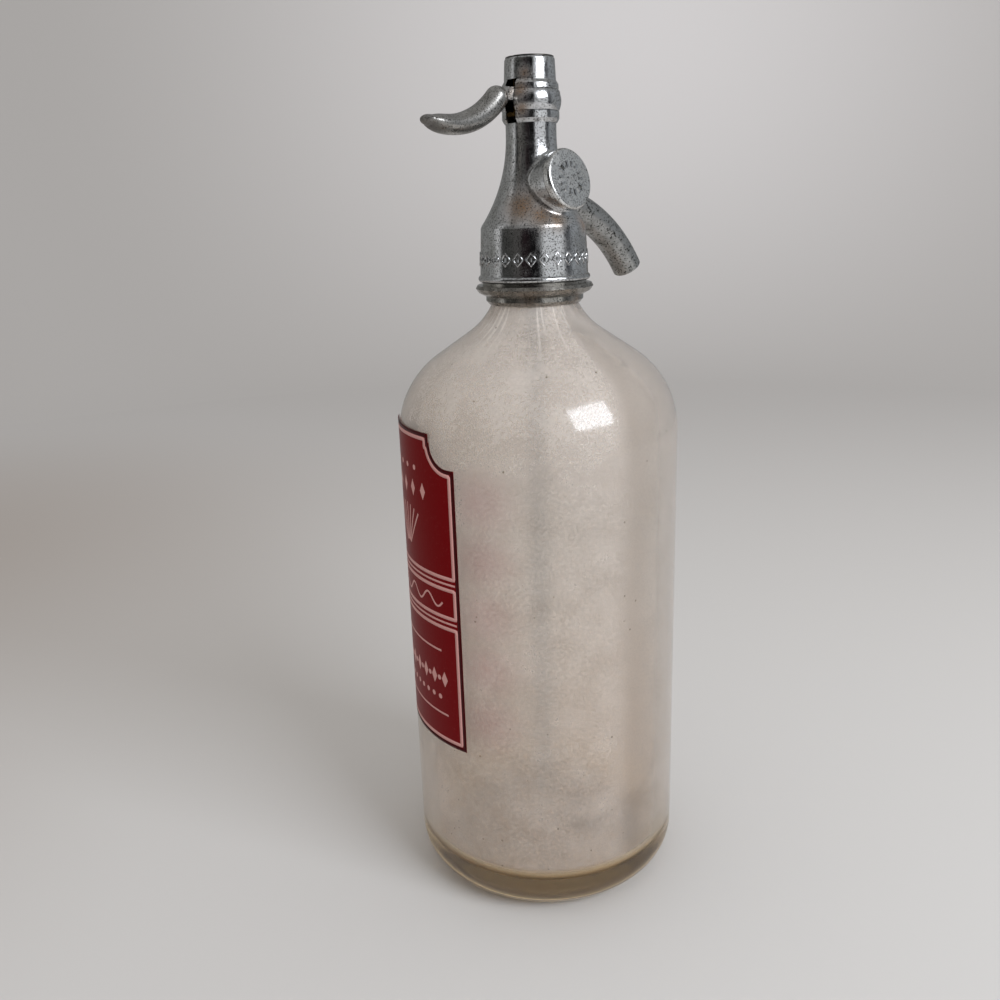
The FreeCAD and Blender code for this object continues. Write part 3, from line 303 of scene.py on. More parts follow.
def fired_enamel(name, code, worn_code, wear):
    """Ceramic ink fired on the glass: an even satin colour, worn thin in fine specks."""
    material, tree, shader, place = surface(name)
    specks = add(tree, "ShaderNodeTexNoise", {
        "Vector": place, "Scale": 1 / (0.9 * MM), "Detail": 3.0, "Roughness": 0.7})
    worn = add(tree, "ShaderNodeMapRange", {
        "Value": specks.outputs[0], "From Min": 0.62, "From Max": 0.72, "To Max": wear})
    colour = add(tree, "ShaderNodeMix", {
        0: worn.outputs[0], 6: paint(code), 7: paint(worn_code)}, data_type="RGBA")
    link(tree, colour.outputs[2], shader, "Base Color")
    rough = add(tree, "ShaderNodeMapRange", {"Value": specks.outputs[0], "To Min": 0.22, "To Max": 0.42})
    link(tree, rough.outputs[0], shader, "Roughness")
    shader.inputs["Specular IOR Level"].default_value = 0.06
    return material


def plain(name, code, roughness, metallic=0.0, transmission=0.0, grain=0.6):
    """Machined brass or steel, moulded rubber or a clear tube, with a faint tool or mould grain."""
    material, tree, shader, place = surface(name)
    marks = add(tree, "ShaderNodeTexNoise", {
        "Vector": place, "Scale": 1 / (grain * MM), "Detail": 3.0, "Roughness": 0.6})
    shade = add(tree, "ShaderNodeMapRange", {
        "Value": marks.outputs[0], "From Min": 0.3, "From Max": 0.7, "To Min": 0.75, "To Max": 1.0})
    colour = add(tree, "ShaderNodeVectorMath", {0: paint(code)[:3]}, operation="SCALE")
    tree.links.new(shade.outputs[0], colour.inputs["Scale"])
    link(tree, colour.outputs[0], shader, "Base Color")
    rough = add(tree, "ShaderNodeMapRange", {
        "Value": marks.outputs[0], "To Min": roughness * 0.7, "To Max": min(1.0, roughness * 1.3)})
    link(tree, rough.outputs[0], shader, "Roughness")
    shader.inputs["Metallic"].default_value = metallic
    shader.inputs["Transmission Weight"].default_value = transmission
    return material


# Shapes

def arc(centre, radius, first, last, steps):
    """Points of an arc as (across, up), angles in degrees."""
    points = []
    for step in range(steps + 1):
        angle = math.radians(first + (last - first) * step / steps)
        points.append((centre[0] + radius * math.cos(angle), centre[1] + radius * math.sin(angle)))
    return points


def turned(name, runs, steps):
    """A closed turned solid from runs of profile points in millimetres, one material slot a run."""
    rings = []
    slots = []
    for slot, run in enumerate(runs):
        for point in run:
            if rings and math.dist(point, rings[-1]) < 1e-4:
                continue
            rings.append(point)
            slots.append(slot)
    shape = bmesh.new()
    rows = []
    for across, up in rings:
        if across < 1e-6:
            rows.append([shape.verts.new((0, 0, up * MM))])
            continue
        rows.append([shape.verts.new((across * MM * math.cos(2 * math.pi * i / steps),
                                      across * MM * math.sin(2 * math.pi * i / steps), up * MM))
                     for i in range(steps)])
    for index in range(1, len(rows)):
        low, high = rows[index - 1], rows[index]
        for i in range(steps):
            j = (i + 1) % steps
            corners = [low[i % len(low)], low[j % len(low)], high[j % len(high)], high[i % len(high)]]
            face = shape.faces.new(list(dict.fromkeys(corners)))
            face.smooth = True
            face.material_index = slots[index]
    bmesh.ops.recalc_face_normals(shape, faces=shape.faces)
    if shape.calc_volume(signed=True) < 0:
        bmesh.ops.reverse_faces(shape, faces=shape.faces)
    return finished(name, shape)


def finished(name, shape):
    """A shape as an object of the scene."""
    mesh = bpy.data.meshes.new(name)
    shape.to_mesh(mesh)
    shape.free()
    piece = bpy.data.objects.new(name, mesh)
    bpy.context.scene.collection.objects.link(piece)
    return piece


def on_glass(along, up, lift):
    """A place on the bottle from millimetres along its girth, from the label's middle, up and out."""
    angle = LABEL_ANGLE + along * MM / BODY_RADIUS
    radius = BODY_RADIUS + lift * MM
    return Vector((radius * math.cos(angle), radius * math.sin(angle), up * MM))


def printed_field(name, corners, lift, thickness, cut=1.5):
    """A thin inked field laid round the glass from its flat outline.

    It is cut at even steps along the girth, in millimetres, so that it bends with the glass.
    """
    shape = bmesh.new()
    shape.faces.new([shape.verts.new((along, up, 0)) for along, up in corners])
    reach = max(along for along, up in corners)
    line = -reach + cut
    while line < reach:
        bmesh.ops.bisect_plane(shape, geom=shape.verts[:] + shape.edges[:] + shape.faces[:],
                               plane_co=(line, 0, 0), plane_no=(1, 0, 0))
        line += cut
    bmesh.ops.recalc_face_normals(shape, faces=shape.faces)
    back = bmesh.ops.duplicate(shape, geom=shape.verts[:] + shape.edges[:] + shape.faces[:])
    copies, copied = back["vert_map"], set(back["geom"])
    front_faces = {face for face in shape.faces if face not in copied}
    rims = [edge for edge in shape.edges
            if len(edge.link_faces) == 1 and edge.link_faces[0] in front_faces]
    for edge in rims:
        a, b = edge.verts
        shape.faces.new((a, b, copies[b], copies[a]))
    front = {vertex for face in front_faces for vertex in face.verts}
    for vertex in shape.verts:
        rise = lift if vertex in front else lift - thickness
        vertex.co = on_glass(vertex.co.x, vertex.co.y, rise)
    bmesh.ops.recalc_face_normals(shape, faces=shape.faces)
    return finished(name, shape)


def geometry_tree(name, sizes):
    """A node tree with geometry in and out and a named input for each size."""
    tree = bpy.data.node_groups.new(name, "GeometryNodeTree")
    tree.interface.new_socket("Geometry", in_out="INPUT", socket_type="NodeSocketGeometry")
    for label in sizes:
        tree.interface.new_socket(label, in_out="INPUT", socket_type="NodeSocketFloat")
    tree.interface.new_socket("Geometry", in_out="OUTPUT", socket_type="NodeSocketGeometry")
    return tree, add(tree, "NodeGroupInput")


def grown(name, tree, vertices, edges, sizes):
    """Runs a tree on some points and edges, and gives the result as a plain mesh object."""
    mesh = bpy.data.meshes.new(name)
    mesh.from_pydata(vertices, edges, [])
    seed = bpy.data.objects.new(name, mesh)
    bpy.context.scene.collection.objects.link(seed)
    modifier = seed.modifiers.new(name, "NODES")
    modifier.node_group = tree
    for item in tree.interface.items_tree:
        if item.in_out == "INPUT" and item.name in sizes:
            modifier[item.identifier] = sizes[item.name]
    result = bpy.data.meshes.new_from_object(seed.evaluated_get(bpy.context.evaluated_depsgraph_get()))
    seed.modifiers.clear()
    seed.data = result
    result.name = name
    return seed


def wrap_round_glass(tree, geometry, start):
    """Nodes that lay flat millimetre geometry round the bottle: X along the girth, Y up, Z out."""
    place = add(tree, "ShaderNodeSeparateXYZ", {0: add(tree, "GeometryNodeInputPosition").outputs[0]})
    along = add(tree, "ShaderNodeMath", {0: place.outputs["X"], 1: MM}, operation="MULTIPLY")
    swing = add(tree, "ShaderNodeMath", {
        0: along.outputs[0], 1: start.outputs["Bottle Radius"]}, operation="DIVIDE")
    angle = add(tree, "ShaderNodeMath", {
        0: swing.outputs[0], 1: start.outputs["Label Angle"]}, operation="ADD")
    radius = add(tree, "ShaderNodeMath", {
        0: place.outputs["Z"], 1: MM, 2: start.outputs["Bottle Radius"]}, operation="MULTIPLY_ADD")
    cosine = add(tree, "ShaderNodeMath", {0: angle.outputs[0]}, operation="COSINE")
    sine = add(tree, "ShaderNodeMath", {0: angle.outputs[0]}, operation="SINE")
    x = add(tree, "ShaderNodeMath", {0: radius.outputs[0], 1: cosine.outputs[0]}, operation="MULTIPLY")
    y = add(tree, "ShaderNodeMath", {0: radius.outputs[0], 1: sine.outputs[0]}, operation="MULTIPLY")
    z = add(tree, "ShaderNodeMath", {0: place.outputs["Y"], 1: MM}, operation="MULTIPLY")
    spot = add(tree, "ShaderNodeCombineXYZ", {0: x.outputs[0], 1: y.outputs[0], 2: z.outputs[0]})
    return add(tree, "GeometryNodeSetPosition", {"Geometry": geometry, "Position": spot.outputs[0]})


def ink_line_tree(material):
    """Flat edges become raised ink lines of one width, laid round the glass."""
    tree, start = geometry_tree("ink_lines", ("Line Width", "Ink Height", "Bottle Radius", "Label Angle"))
    curve = add(tree, "GeometryNodeMeshToCurve", {0: start.outputs["Geometry"]})
    even = add(tree, "GeometryNodeResampleCurve", {"Curve": curve.outputs[0], "Length": 0.6}, mode="LENGTH")
    flat = add(tree, "GeometryNodeSetCurveNormal", {"Curve": even.outputs[0]}, mode="Z_UP")
    profile = add(tree, "GeometryNodeCurvePrimitiveQuadrilateral", {
        "Width": start.outputs["Line Width"], "Height": start.outputs["Ink Height"]})
    line = add(tree, "GeometryNodeCurveToMesh", {
        "Curve": flat.outputs[0], "Profile Curve": profile.outputs[0], "Fill Caps": True})
    laid = wrap_round_glass(tree, line.outputs[0], start)
    painted = add(tree, "GeometryNodeSetMaterial", {"Geometry": laid.outputs[0], "Material": material})
    real = add(tree, "GeometryNodeRealizeInstances", {"Geometry": painted.outputs[0]})
    add(tree, "NodeGroupOutput", {0: real.outputs[0]})
    return tree


def ink_motif_tree(material):
    """Points become inked lozenges or discs, laid round the glass."""
    tree, start = geometry_tree("ink_motifs", (
        "Motif Width", "Motif Height", "Corners", "Ink Height", "Bottle Radius", "Label Angle"))
    corners = add(tree, "FunctionNodeFloatToInt", {0: start.outputs["Corners"]})
    disc = add(tree, "GeometryNodeMeshCylinder", {
        "Vertices": corners.outputs[0], "Radius": 0.5, "Depth": start.outputs["Ink Height"]})
    size = add(tree, "ShaderNodeCombineXYZ", {
        0: start.outputs["Motif Width"], 1: start.outputs["Motif Height"], 2: 1.0})
    placed = add(tree, "GeometryNodeInstanceOnPoints", {
        "Points": start.outputs["Geometry"], "Instance": disc.outputs["Mesh"], "Scale": size.outputs[0]})
    real = add(tree, "GeometryNodeRealizeInstances", {"Geometry": placed.outputs[0]})
    laid = wrap_round_glass(tree, real.outputs[0], start)
    painted = add(tree, "GeometryNodeSetMaterial", {"Geometry": laid.outputs[0], "Material": material})
    add(tree, "NodeGroupOutput", {0: painted.outputs[0]})
    return tree


def raised_mark_tree(name, material):
    """Points on a round surface become small raised marks, turned to face out from the Z axis."""
    tree, start = geometry_tree(name, ("Mark Width", "Mark Height", "Mark Rise"))
    bar = add(tree, "GeometryNodeMeshCube", {
        "Size": (1, 1, 1), "Vertices X": 2, "Vertices Y": 2, "Vertices Z": 2})
    size = add(tree, "ShaderNodeCombineXYZ", {
        0: start.outputs["Mark Rise"], 1: start.outputs["Mark Width"], 2: start.outputs["Mark Height"]})
    place = add(tree, "GeometryNodeInputPosition")
    level = add(tree, "ShaderNodeVectorMath", {0: place.outputs[0], 1: (1, 1, 0)}, operation="MULTIPLY")
    facing = add(tree, "FunctionNodeAlignRotationToVector", {"Vector": level.outputs[0]}, axis="X")
    placed = add(tree, "GeometryNodeInstanceOnPoints", {
        "Points": start.outputs["Geometry"], "Instance": bar.outputs["Mesh"],
        "Rotation": facing.outputs[0], "Scale": size.outputs[0]})
    real = add(tree, "GeometryNodeRealizeInstances", {"Geometry": placed.outputs[0]})
    painted = add(tree, "GeometryNodeSetMaterial", {"Geometry": real.outputs[0], "Material": material})
    add(tree, "NodeGroupOutput", {0: painted.outputs[0]})
    return tree


def raised_line_tree(name, material):
    """Edges become raised round lines of one width, as cast in the plating."""
    tree, start = geometry_tree(name, ("Line Width",))
    curve = add(tree, "GeometryNodeMeshToCurve", {0: start.outputs["Geometry"]})
    half = add(tree, "ShaderNodeMath", {0: start.outputs["Line Width"], 1: 0.5}, operation="MULTIPLY")
    profile = add(tree, "GeometryNodeCurvePrimitiveCircle", {"Resolution": 10, "Radius": half.outputs[0]})
    line = add(tree, "GeometryNodeCurveToMesh", {
        "Curve": curve.outputs[0], "Profile Curve": profile.outputs[0], "Fill Caps": True})
    real = add(tree, "GeometryNodeRealizeInstances", {"Geometry": line.outputs[0]})
    painted = add(tree, "GeometryNodeSetMaterial", {"Geometry": real.outputs[0], "Material": material})
    add(tree, "NodeGroupOutput", {0: painted.outputs[0]})
    return tree


def clad(node, material):
    """Gives a CAD node its finish."""
    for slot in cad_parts[node].material_slots:
        slot.material = material


# Settings

class SiphonGlass(bpy.types.PropertyGroup):
    tint: StringProperty(
        name="Glass tint", description="Colour of the hazy glass, as hex", default="#F6EFE8")
    inner_tint: StringProperty(
        name="Inner film", description="Colour of the scale inside, as hex", default="#F1E9DF")
    haze_low: FloatProperty(
        name="Least haze", description="Milkiness of the clearest patches", default=0.14, min=0, max=1)
    haze_high: FloatProperty(
        name="Most haze", description="Milkiness of the cloudiest patches", default=0.27, min=0, max=1)
    smoothness: IntProperty(
        name="Steps round", description="Faces round the bottle", default=256, min=48, max=512)


class SiphonLabel(bpy.types.PropertyGroup):
    ink: StringProperty(
        name="Label red", description="Colour of the printed field, as hex", default="#6A0005")
    line_ink: StringProperty(
        name="Line ink", description="Colour of the printed lines, as hex", default="#C2928D")
    line_width: FloatProperty(
        name="Line width", description="Width of the border lines", default=1.3 * MM,
        unit="LENGTH", subtype="DISTANCE")


class SiphonMetal(bpy.types.PropertyGroup):
    clean: StringProperty(
        name="Plating", description="Colour of sound plating, as hex", default="#C9CACB")
    dull: StringProperty(
        name="Worn plating", description="Colour of thin plating, as hex", default="#85857F")
    # Brown of the spots on the head and the ferrule; under the head's side boss it is also painted shadow
    tarnish_and_shade: StringProperty(
        name="Tarnish", description="Colour of the brown tarnish, as hex", default="#6A4A22")


# Pieces

class OBJECT_OT_siphon_glass(bpy.types.Operator):
    """Blown glass bottle: clear thick heel, hazy body, frosted inside"""
    bl_idname = "object.siphon_glass"
    bl_label = "Glass Bottle"

    def execute(self, context):
        chosen = context.scene.siphon_glass
        # Sizes of the profile in millimetres, the lean of its slopes in degrees
        body, heel, shoulder, shoulder_level, lean = 50, 14, 33, 172, 56
        neck, sweep, sweep_level = 12.4, 25, 228.2
        lip, lip_low, lip_high, rounding = 14, 230.8, 232.8, 1
        punt, punt_rise, punt_curve = 31, 2, 241.25
        wall, bore, floor, inner_heel = 6.5, 8.6, 11, 8
        inner_sweep, inner_sweep_level = 14, 217.07
        cuts = 12

        # Outside, from the punt's middle over the foot and up to the lip
        punt_end = math.degrees(math.acos(punt / punt_curve))
        outside = arc((0, punt_rise - punt_curve), punt_curve, 90, punt_end, 8)
        outside = outside[:-1] + [(punt, 0), ((punt + body - heel) / 2, 0)]
        outside += arc((body - heel, heel), heel, -90, 0, 24)
        outside += [(body, heel + (shoulder_level - heel) * i / cuts) for i in range(1, cuts)]
        outside += arc((body - shoulder, shoulder_level), shoulder, 0, lean, 40)
        outside += arc((neck + sweep, sweep_level), sweep, 180 + lean, 180, 28)
        outside += [(neck, lip_low - rounding)]
        outside += arc((lip, lip_low), rounding, -90, 0, 6) + arc((lip, lip_high), rounding, 0, 90, 6)
        outside += arc((bore + rounding, lip_high), rounding, 90, 180, 6)

        # Inside, from the neck down to the middle of the floor
        inner, corner = body - wall, floor + inner_heel
        flat = inner - inner_heel
        inside = arc((bore + inner_sweep, inner_sweep_level), inner_sweep, 180, 180 + lean, 20)
        inside += arc((body - shoulder, shoulder_level), shoulder - wall, lean, 0, 36)
        inside += [(inner, shoulder_level - (shoulder_level - corner) * i / cuts)
                   for i in range(1, cuts)]
        inside += arc((flat, corner), inner_heel, 0, -90, 16)
        inside += [(flat - flat * i / 8, floor + punt_rise * (1 - (1 - i / 8) ** 2))
                   for i in range(1, 9)]

        bottle = turned("bottle_glass", [outside, inside], chosen.smoothness)
        outer = etched_glass("hazy_soda_lime_glass", chosen.tint,
                             (chosen.haze_low, chosen.haze_high), clear_below=17 * MM)
        inner = inner_bloom("frosted_inner_glass", chosen.inner_tint,
                            transmission=(0.57, 0.67), roughness=0.34)
        bottle.data.materials.append(outer)
        bottle.data.materials.append(inner)
        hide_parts("glass_bottle")
        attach(bottle, "bottle")
        clad("dip_tube", plain("drawn_glass_tube", "#C9C4B8", 0.12, transmission=0.8, grain=4))
        return {"FINISHED"}


class OBJECT_OT_siphon_label(bpy.types.Operator):
    """Fired red label with stepped shoulders, pale lines and plain ornament"""
    bl_idname = "object.siphon_label"
    bl_label = "Printed Label"

    def execute(self, context):
        chosen = context.scene.siphon_label
        red = fired_enamel("fired_red_enamel", chosen.ink, "#9A4A4A", 0.25)
        pale = fired_enamel("fired_pale_enamel", chosen.line_ink, "#8A3A3A", 0.5)

        def shouldered(inset, low):
            """The label's outline moved in by an inset, from its low edge up, right side first.

            Its top corners step in with a concave quarter, as a ticket's do.
            """
            side, notch, step, top = 30.1 - inset, 167.6 - inset, 18.7 - inset, 178.7 - inset
            bite = 8.2 + inset
            curve = arc((27.4, 175.8), bite, 270, 180 + math.degrees(math.asin(inset / bite)), 12)
            right = [(side, low), (side, notch)] + curve + [(step, curve[-1][1]), (step, top)]
            return right + [(-along, up) for along, up in reversed(right)]

        field = printed_field("label_field", shouldered(0.0, 64.0), FIELD_LIFT, FIELD_THICKNESS)
        field.data.materials.append(red)
        pieces = [field]
        sizes = {"Line Width": chosen.line_width / MM, "Ink Height": LINE_THICKNESS,
                 "Bottle Radius": BODY_RADIUS + LINE_LIFT * MM, "Label Angle": LABEL_ANGLE}
        vertices, edges = [], []

        def draw(path, closed=True):
            """Adds a line through flat points, in millimetres along the girth and up."""
            first = len(vertices)
            vertices.extend((along, up, 0.0) for along, up in path)
            count = len(path)
            sides = count if closed else count - 1
            edges.extend((first + i, first + (i + 1) % count) for i in range(sides))

        # The border of the upper field, then of the band and the lower field
        draw(shouldered(2.1, 129.2))
        edge = 28.0
        for low, high in ((114.6, 125.0), (66.1, 110.4)):
            draw([(edge, low), (edge, high), (-edge, high), (-edge, low)])
        pieces.append(grown("label_border", ink_line_tree(pale), vertices, edges, sizes))
        # A dark margin round the whole label
        vertices, edges = [], []
        draw(shouldered(0.65, 64.65))
        deep = fired_enamel("fired_dark_enamel", "#3A0408", "#8A3A3A", 0.4)
        pieces.append(grown("label_margin", ink_line_tree(deep), vertices, edges, sizes))
        # Rules between the fields
        vertices, edges = [], []
        for level in (127.1, 112.5):
            draw([(28.4, level), (-28.4, level)], closed=False)
        # A wave along the band
        reach, middle, swell, steps, waves = 22, 119.8, 2.0, 88, 4
        draw([(-reach + 2 * reach * i / steps,
               middle + swell * math.sin(math.radians(i * waves * 360 / steps)))
              for i in range(steps + 1)], closed=False)
        # A fan of rays in the upper field, 9 degrees apart about its foot
        foot, near, wide, tall = 133, 4, 22, 18
        for ray in range(-3, 4):
            lean = math.radians(ray * 9)
            draw([(near * math.sin(lean), foot + near * math.cos(lean)),
                  (wide * math.sin(lean), foot + tall * math.cos(lean))], closed=False)
        # Two shorter rules in the lower field
        for level, half in ((101, 20), (76, 22)):
            draw([(-half, level), (half, level)], closed=False)
        fine = dict(sizes)
        fine["Line Width"] = 0.75
        pieces.append(grown("label_lines", ink_line_tree(pale), vertices, edges, fine))
        # Each row's corners, width and height, then where its motifs stand
        rows = {"label_lozenges": (4, 3.2, 6.0, [(along, 90.0) for along in range(-21, 22, 6)]
                                   + [(along, 158.0) for along in (-14, -7, 0, 7, 14)]),
                "label_bubbles": (24, 1.9, 1.9, [(along + 3, 90.0) for along in range(-21, 20, 6)]
                                  + [(along, 82.5) for along in range(-18, 19, 4)]
                                  + [(along, 165.5) for along in (-9, -3, 3, 9)])}
        for name, (corners, width, height, places) in rows.items():
            motif = dict(sizes)
            motif.update({"Motif Width": width, "Motif Height": height, "Corners": float(corners)})
            points = [(along, up, 0.0) for along, up in places]
            pieces.append(grown(name, ink_motif_tree(pale), points, [], motif))
        for piece in pieces:
            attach(piece, "bottle")
        return {"FINISHED"}


class OBJECT_OT_siphon_head(bpy.types.Operator):
    """Plated head, cap, ferrule and collar, with cast lever and drawn spout"""
    bl_idname = "object.siphon_head"
    bl_label = "Plated Head"

    def execute(self, context):
        chosen = context.scene.siphon_metal
        # The head's brown spots under the side boss are tarnished plating and the boss's painted shadow.
        head = plated_metal("worn_plated_casting", chosen.clean, chosen.dull, chosen.tarnish_and_shade, [
            (-12, -7, 249, 10), (-9, -12, 246, 8), (-5, -15, 244, 6), (8, -16, 243, 6), (-7, -8, 240, 6)])
        # The ferrule's brown spots sit beside the lever's slot.
        barrel = plated_metal("worn_plated_ferrule", chosen.clean, chosen.dull, chosen.tarnish_and_shade, [
            (-9, -4, 285, 5), (-9, -4.5, 279, 4), (-8, -5, 290, 4)])
        cap = plated_metal("worn_plated_cap", "#DEDEDC", "#A4A4A1", roughness=(0.18, 0.42), wear=0.8)
        collar = plated_metal("tarnished_plated_collar", "#A3A09A", "#5E5A54", "#5A4227", [
            (-16, -12, 218, 7), (4, -18, 218, 5)], (0.12, 0.34), wear=0.7)
        # The lever's dark grey spot at its tip is painted shade, where its underside turns away from the
        # light.
        cast = plated_metal("pitted_cast_metal", "#AEACA8", "#7A7873", "#4A4744", [(-43, 0, 274, 8)],
                            (0.26, 0.46), wear=0.8)
        drawn = plated_metal("dull_drawn_tube", "#A6A6A4", "#7A7A77",
                             roughness=(0.32, 0.50), pit=0.8, wear=0.8)
        dark = plated_metal("dark_plug", "#5A5856", "#38352F", roughness=(0.3, 0.5), wear=0.8)
        for node, material in (("head_body", head), ("ferrule", barrel), ("side_cap", cap),
                               ("collar_half_front", collar), ("collar_half_back", collar),
                               ("lever", cast), ("spout_tube", drawn), ("top_plug", dark)):
            clad(node, material)
        return {"FINISHED"}


class OBJECT_OT_siphon_marks(bpy.types.Operator):
    """Plain raised ornament round the skirt and on the side cap's face"""
    bl_idname = "object.siphon_marks"
    bl_label = "Raised Ornament"

    def execute(self, context):
        chosen = context.scene.siphon_metal
        raised = plated_metal("raised_plated_mark", chosen.clean, chosen.dull)
        # A chain of lozenges with a short bar in each, cast proud of the tapered skirt.
        # The skirt's radius at the chain's level, and its taper over its height, in millimetres
        count, level, skirt_radius, taper, height = 26, 232.3, 18.36, 0.7, 15.6
        lozenge = ((-1.7, 232.3), (0, 234.4), (1.7, 232.3), (0, 230.2))
        bar = ((0, 231.6), (0, 233.0))
        vertices, edges = [], []
        for index in range(count):
            middle = 2 * math.pi * index / count
            for path in (lozenge, bar):
                first = len(vertices)
                for across, up in path:
                    radius = (skirt_radius - (up - level) * taper / height) * MM
                    angle = middle + across * MM / radius
                    vertices.append((radius * math.cos(angle), radius * math.sin(angle), up * MM))
                steps = len(path) if len(path) > 2 else 1
                edges += [(first + i, first + (i + 1) % len(path)) for i in range(steps)]
        skirt = grown("skirt_ornament", raised_line_tree("skirt_lines", raised), vertices, edges,
                      {"Line Width": 0.75 * MM})
        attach(skirt, "bottle")
        marks, ring_radius = 14, 4.6 * MM
        turns = [2 * math.pi * (i + 0.5) / marks for i in range(marks)]
        ring = [(ring_radius * math.cos(turn), ring_radius * math.sin(turn), 0.0) for turn in turns]
        cap = grown("cap_ornament", raised_mark_tree("cap_marks", raised), ring, [],
                    {"Mark Width": 0.7 * MM, "Mark Height": 0.4 * MM, "Mark Rise": 1.9 * MM})
        # The ring is grown flat about Z, then laid on the cap: the boss leaves the head's axis at
        # this level and rises by this angle towards -Y, and the cap's face is this far along it
        boss_level, boss_rise, face = 253 * MM, 14.1, 18.42 * MM
        tilt, spin = math.radians(90 - boss_rise), math.radians(-43)
        cap.data.transform(
            Matrix.Translation((0, 0, boss_level)) @ Matrix.Rotation(tilt, 4, "X")
            @ Matrix.Rotation(spin, 4, "Z") @ Matrix.Translation((0, 0, face)))
        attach(cap, "bottle")
        return {"FINISHED"}


class OBJECT_OT_siphon_works(bpy.types.Operator):
    """Brass, steel and rubber pieces of the valve and the tube's holder"""
    bl_idname = "object.siphon_works"
    bl_label = "Inner Works"

    def execute(self, context):
        brass = plain("turned_brass", "#B08D57", 0.28, metallic=1.0)
        steel = plain("drawn_steel", "#9A9A98", 0.30, metallic=1.0)
        rubber = plain("moulded_black_rubber", "#1C1B1A", 0.65)
        for node in ("plunger", "valve_retainer", "valve_seat", "gland_nut", "tube_holder"):
            clad(node, brass)
        for node in ("lever_pivot_pin", "thrust_pin"):
            clad(node, steel)
        # The wire stands on the gland nut
        spring = bpy.data.objects.new("return_spring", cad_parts["plunger_spring"].data.copy())
        context.scene.collection.objects.link(spring)
        spring.data.materials.clear()
        spring.data.materials.append(steel)
        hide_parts("plunger_spring")
        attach(spring, "bottle")
        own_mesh(spring)
        for node in ("neck_gasket", "side_cap_washer", "valve_washer", "stem_packing", "tube_sleeve"):
            clad(node, rubber)
        return {"FINISHED"}


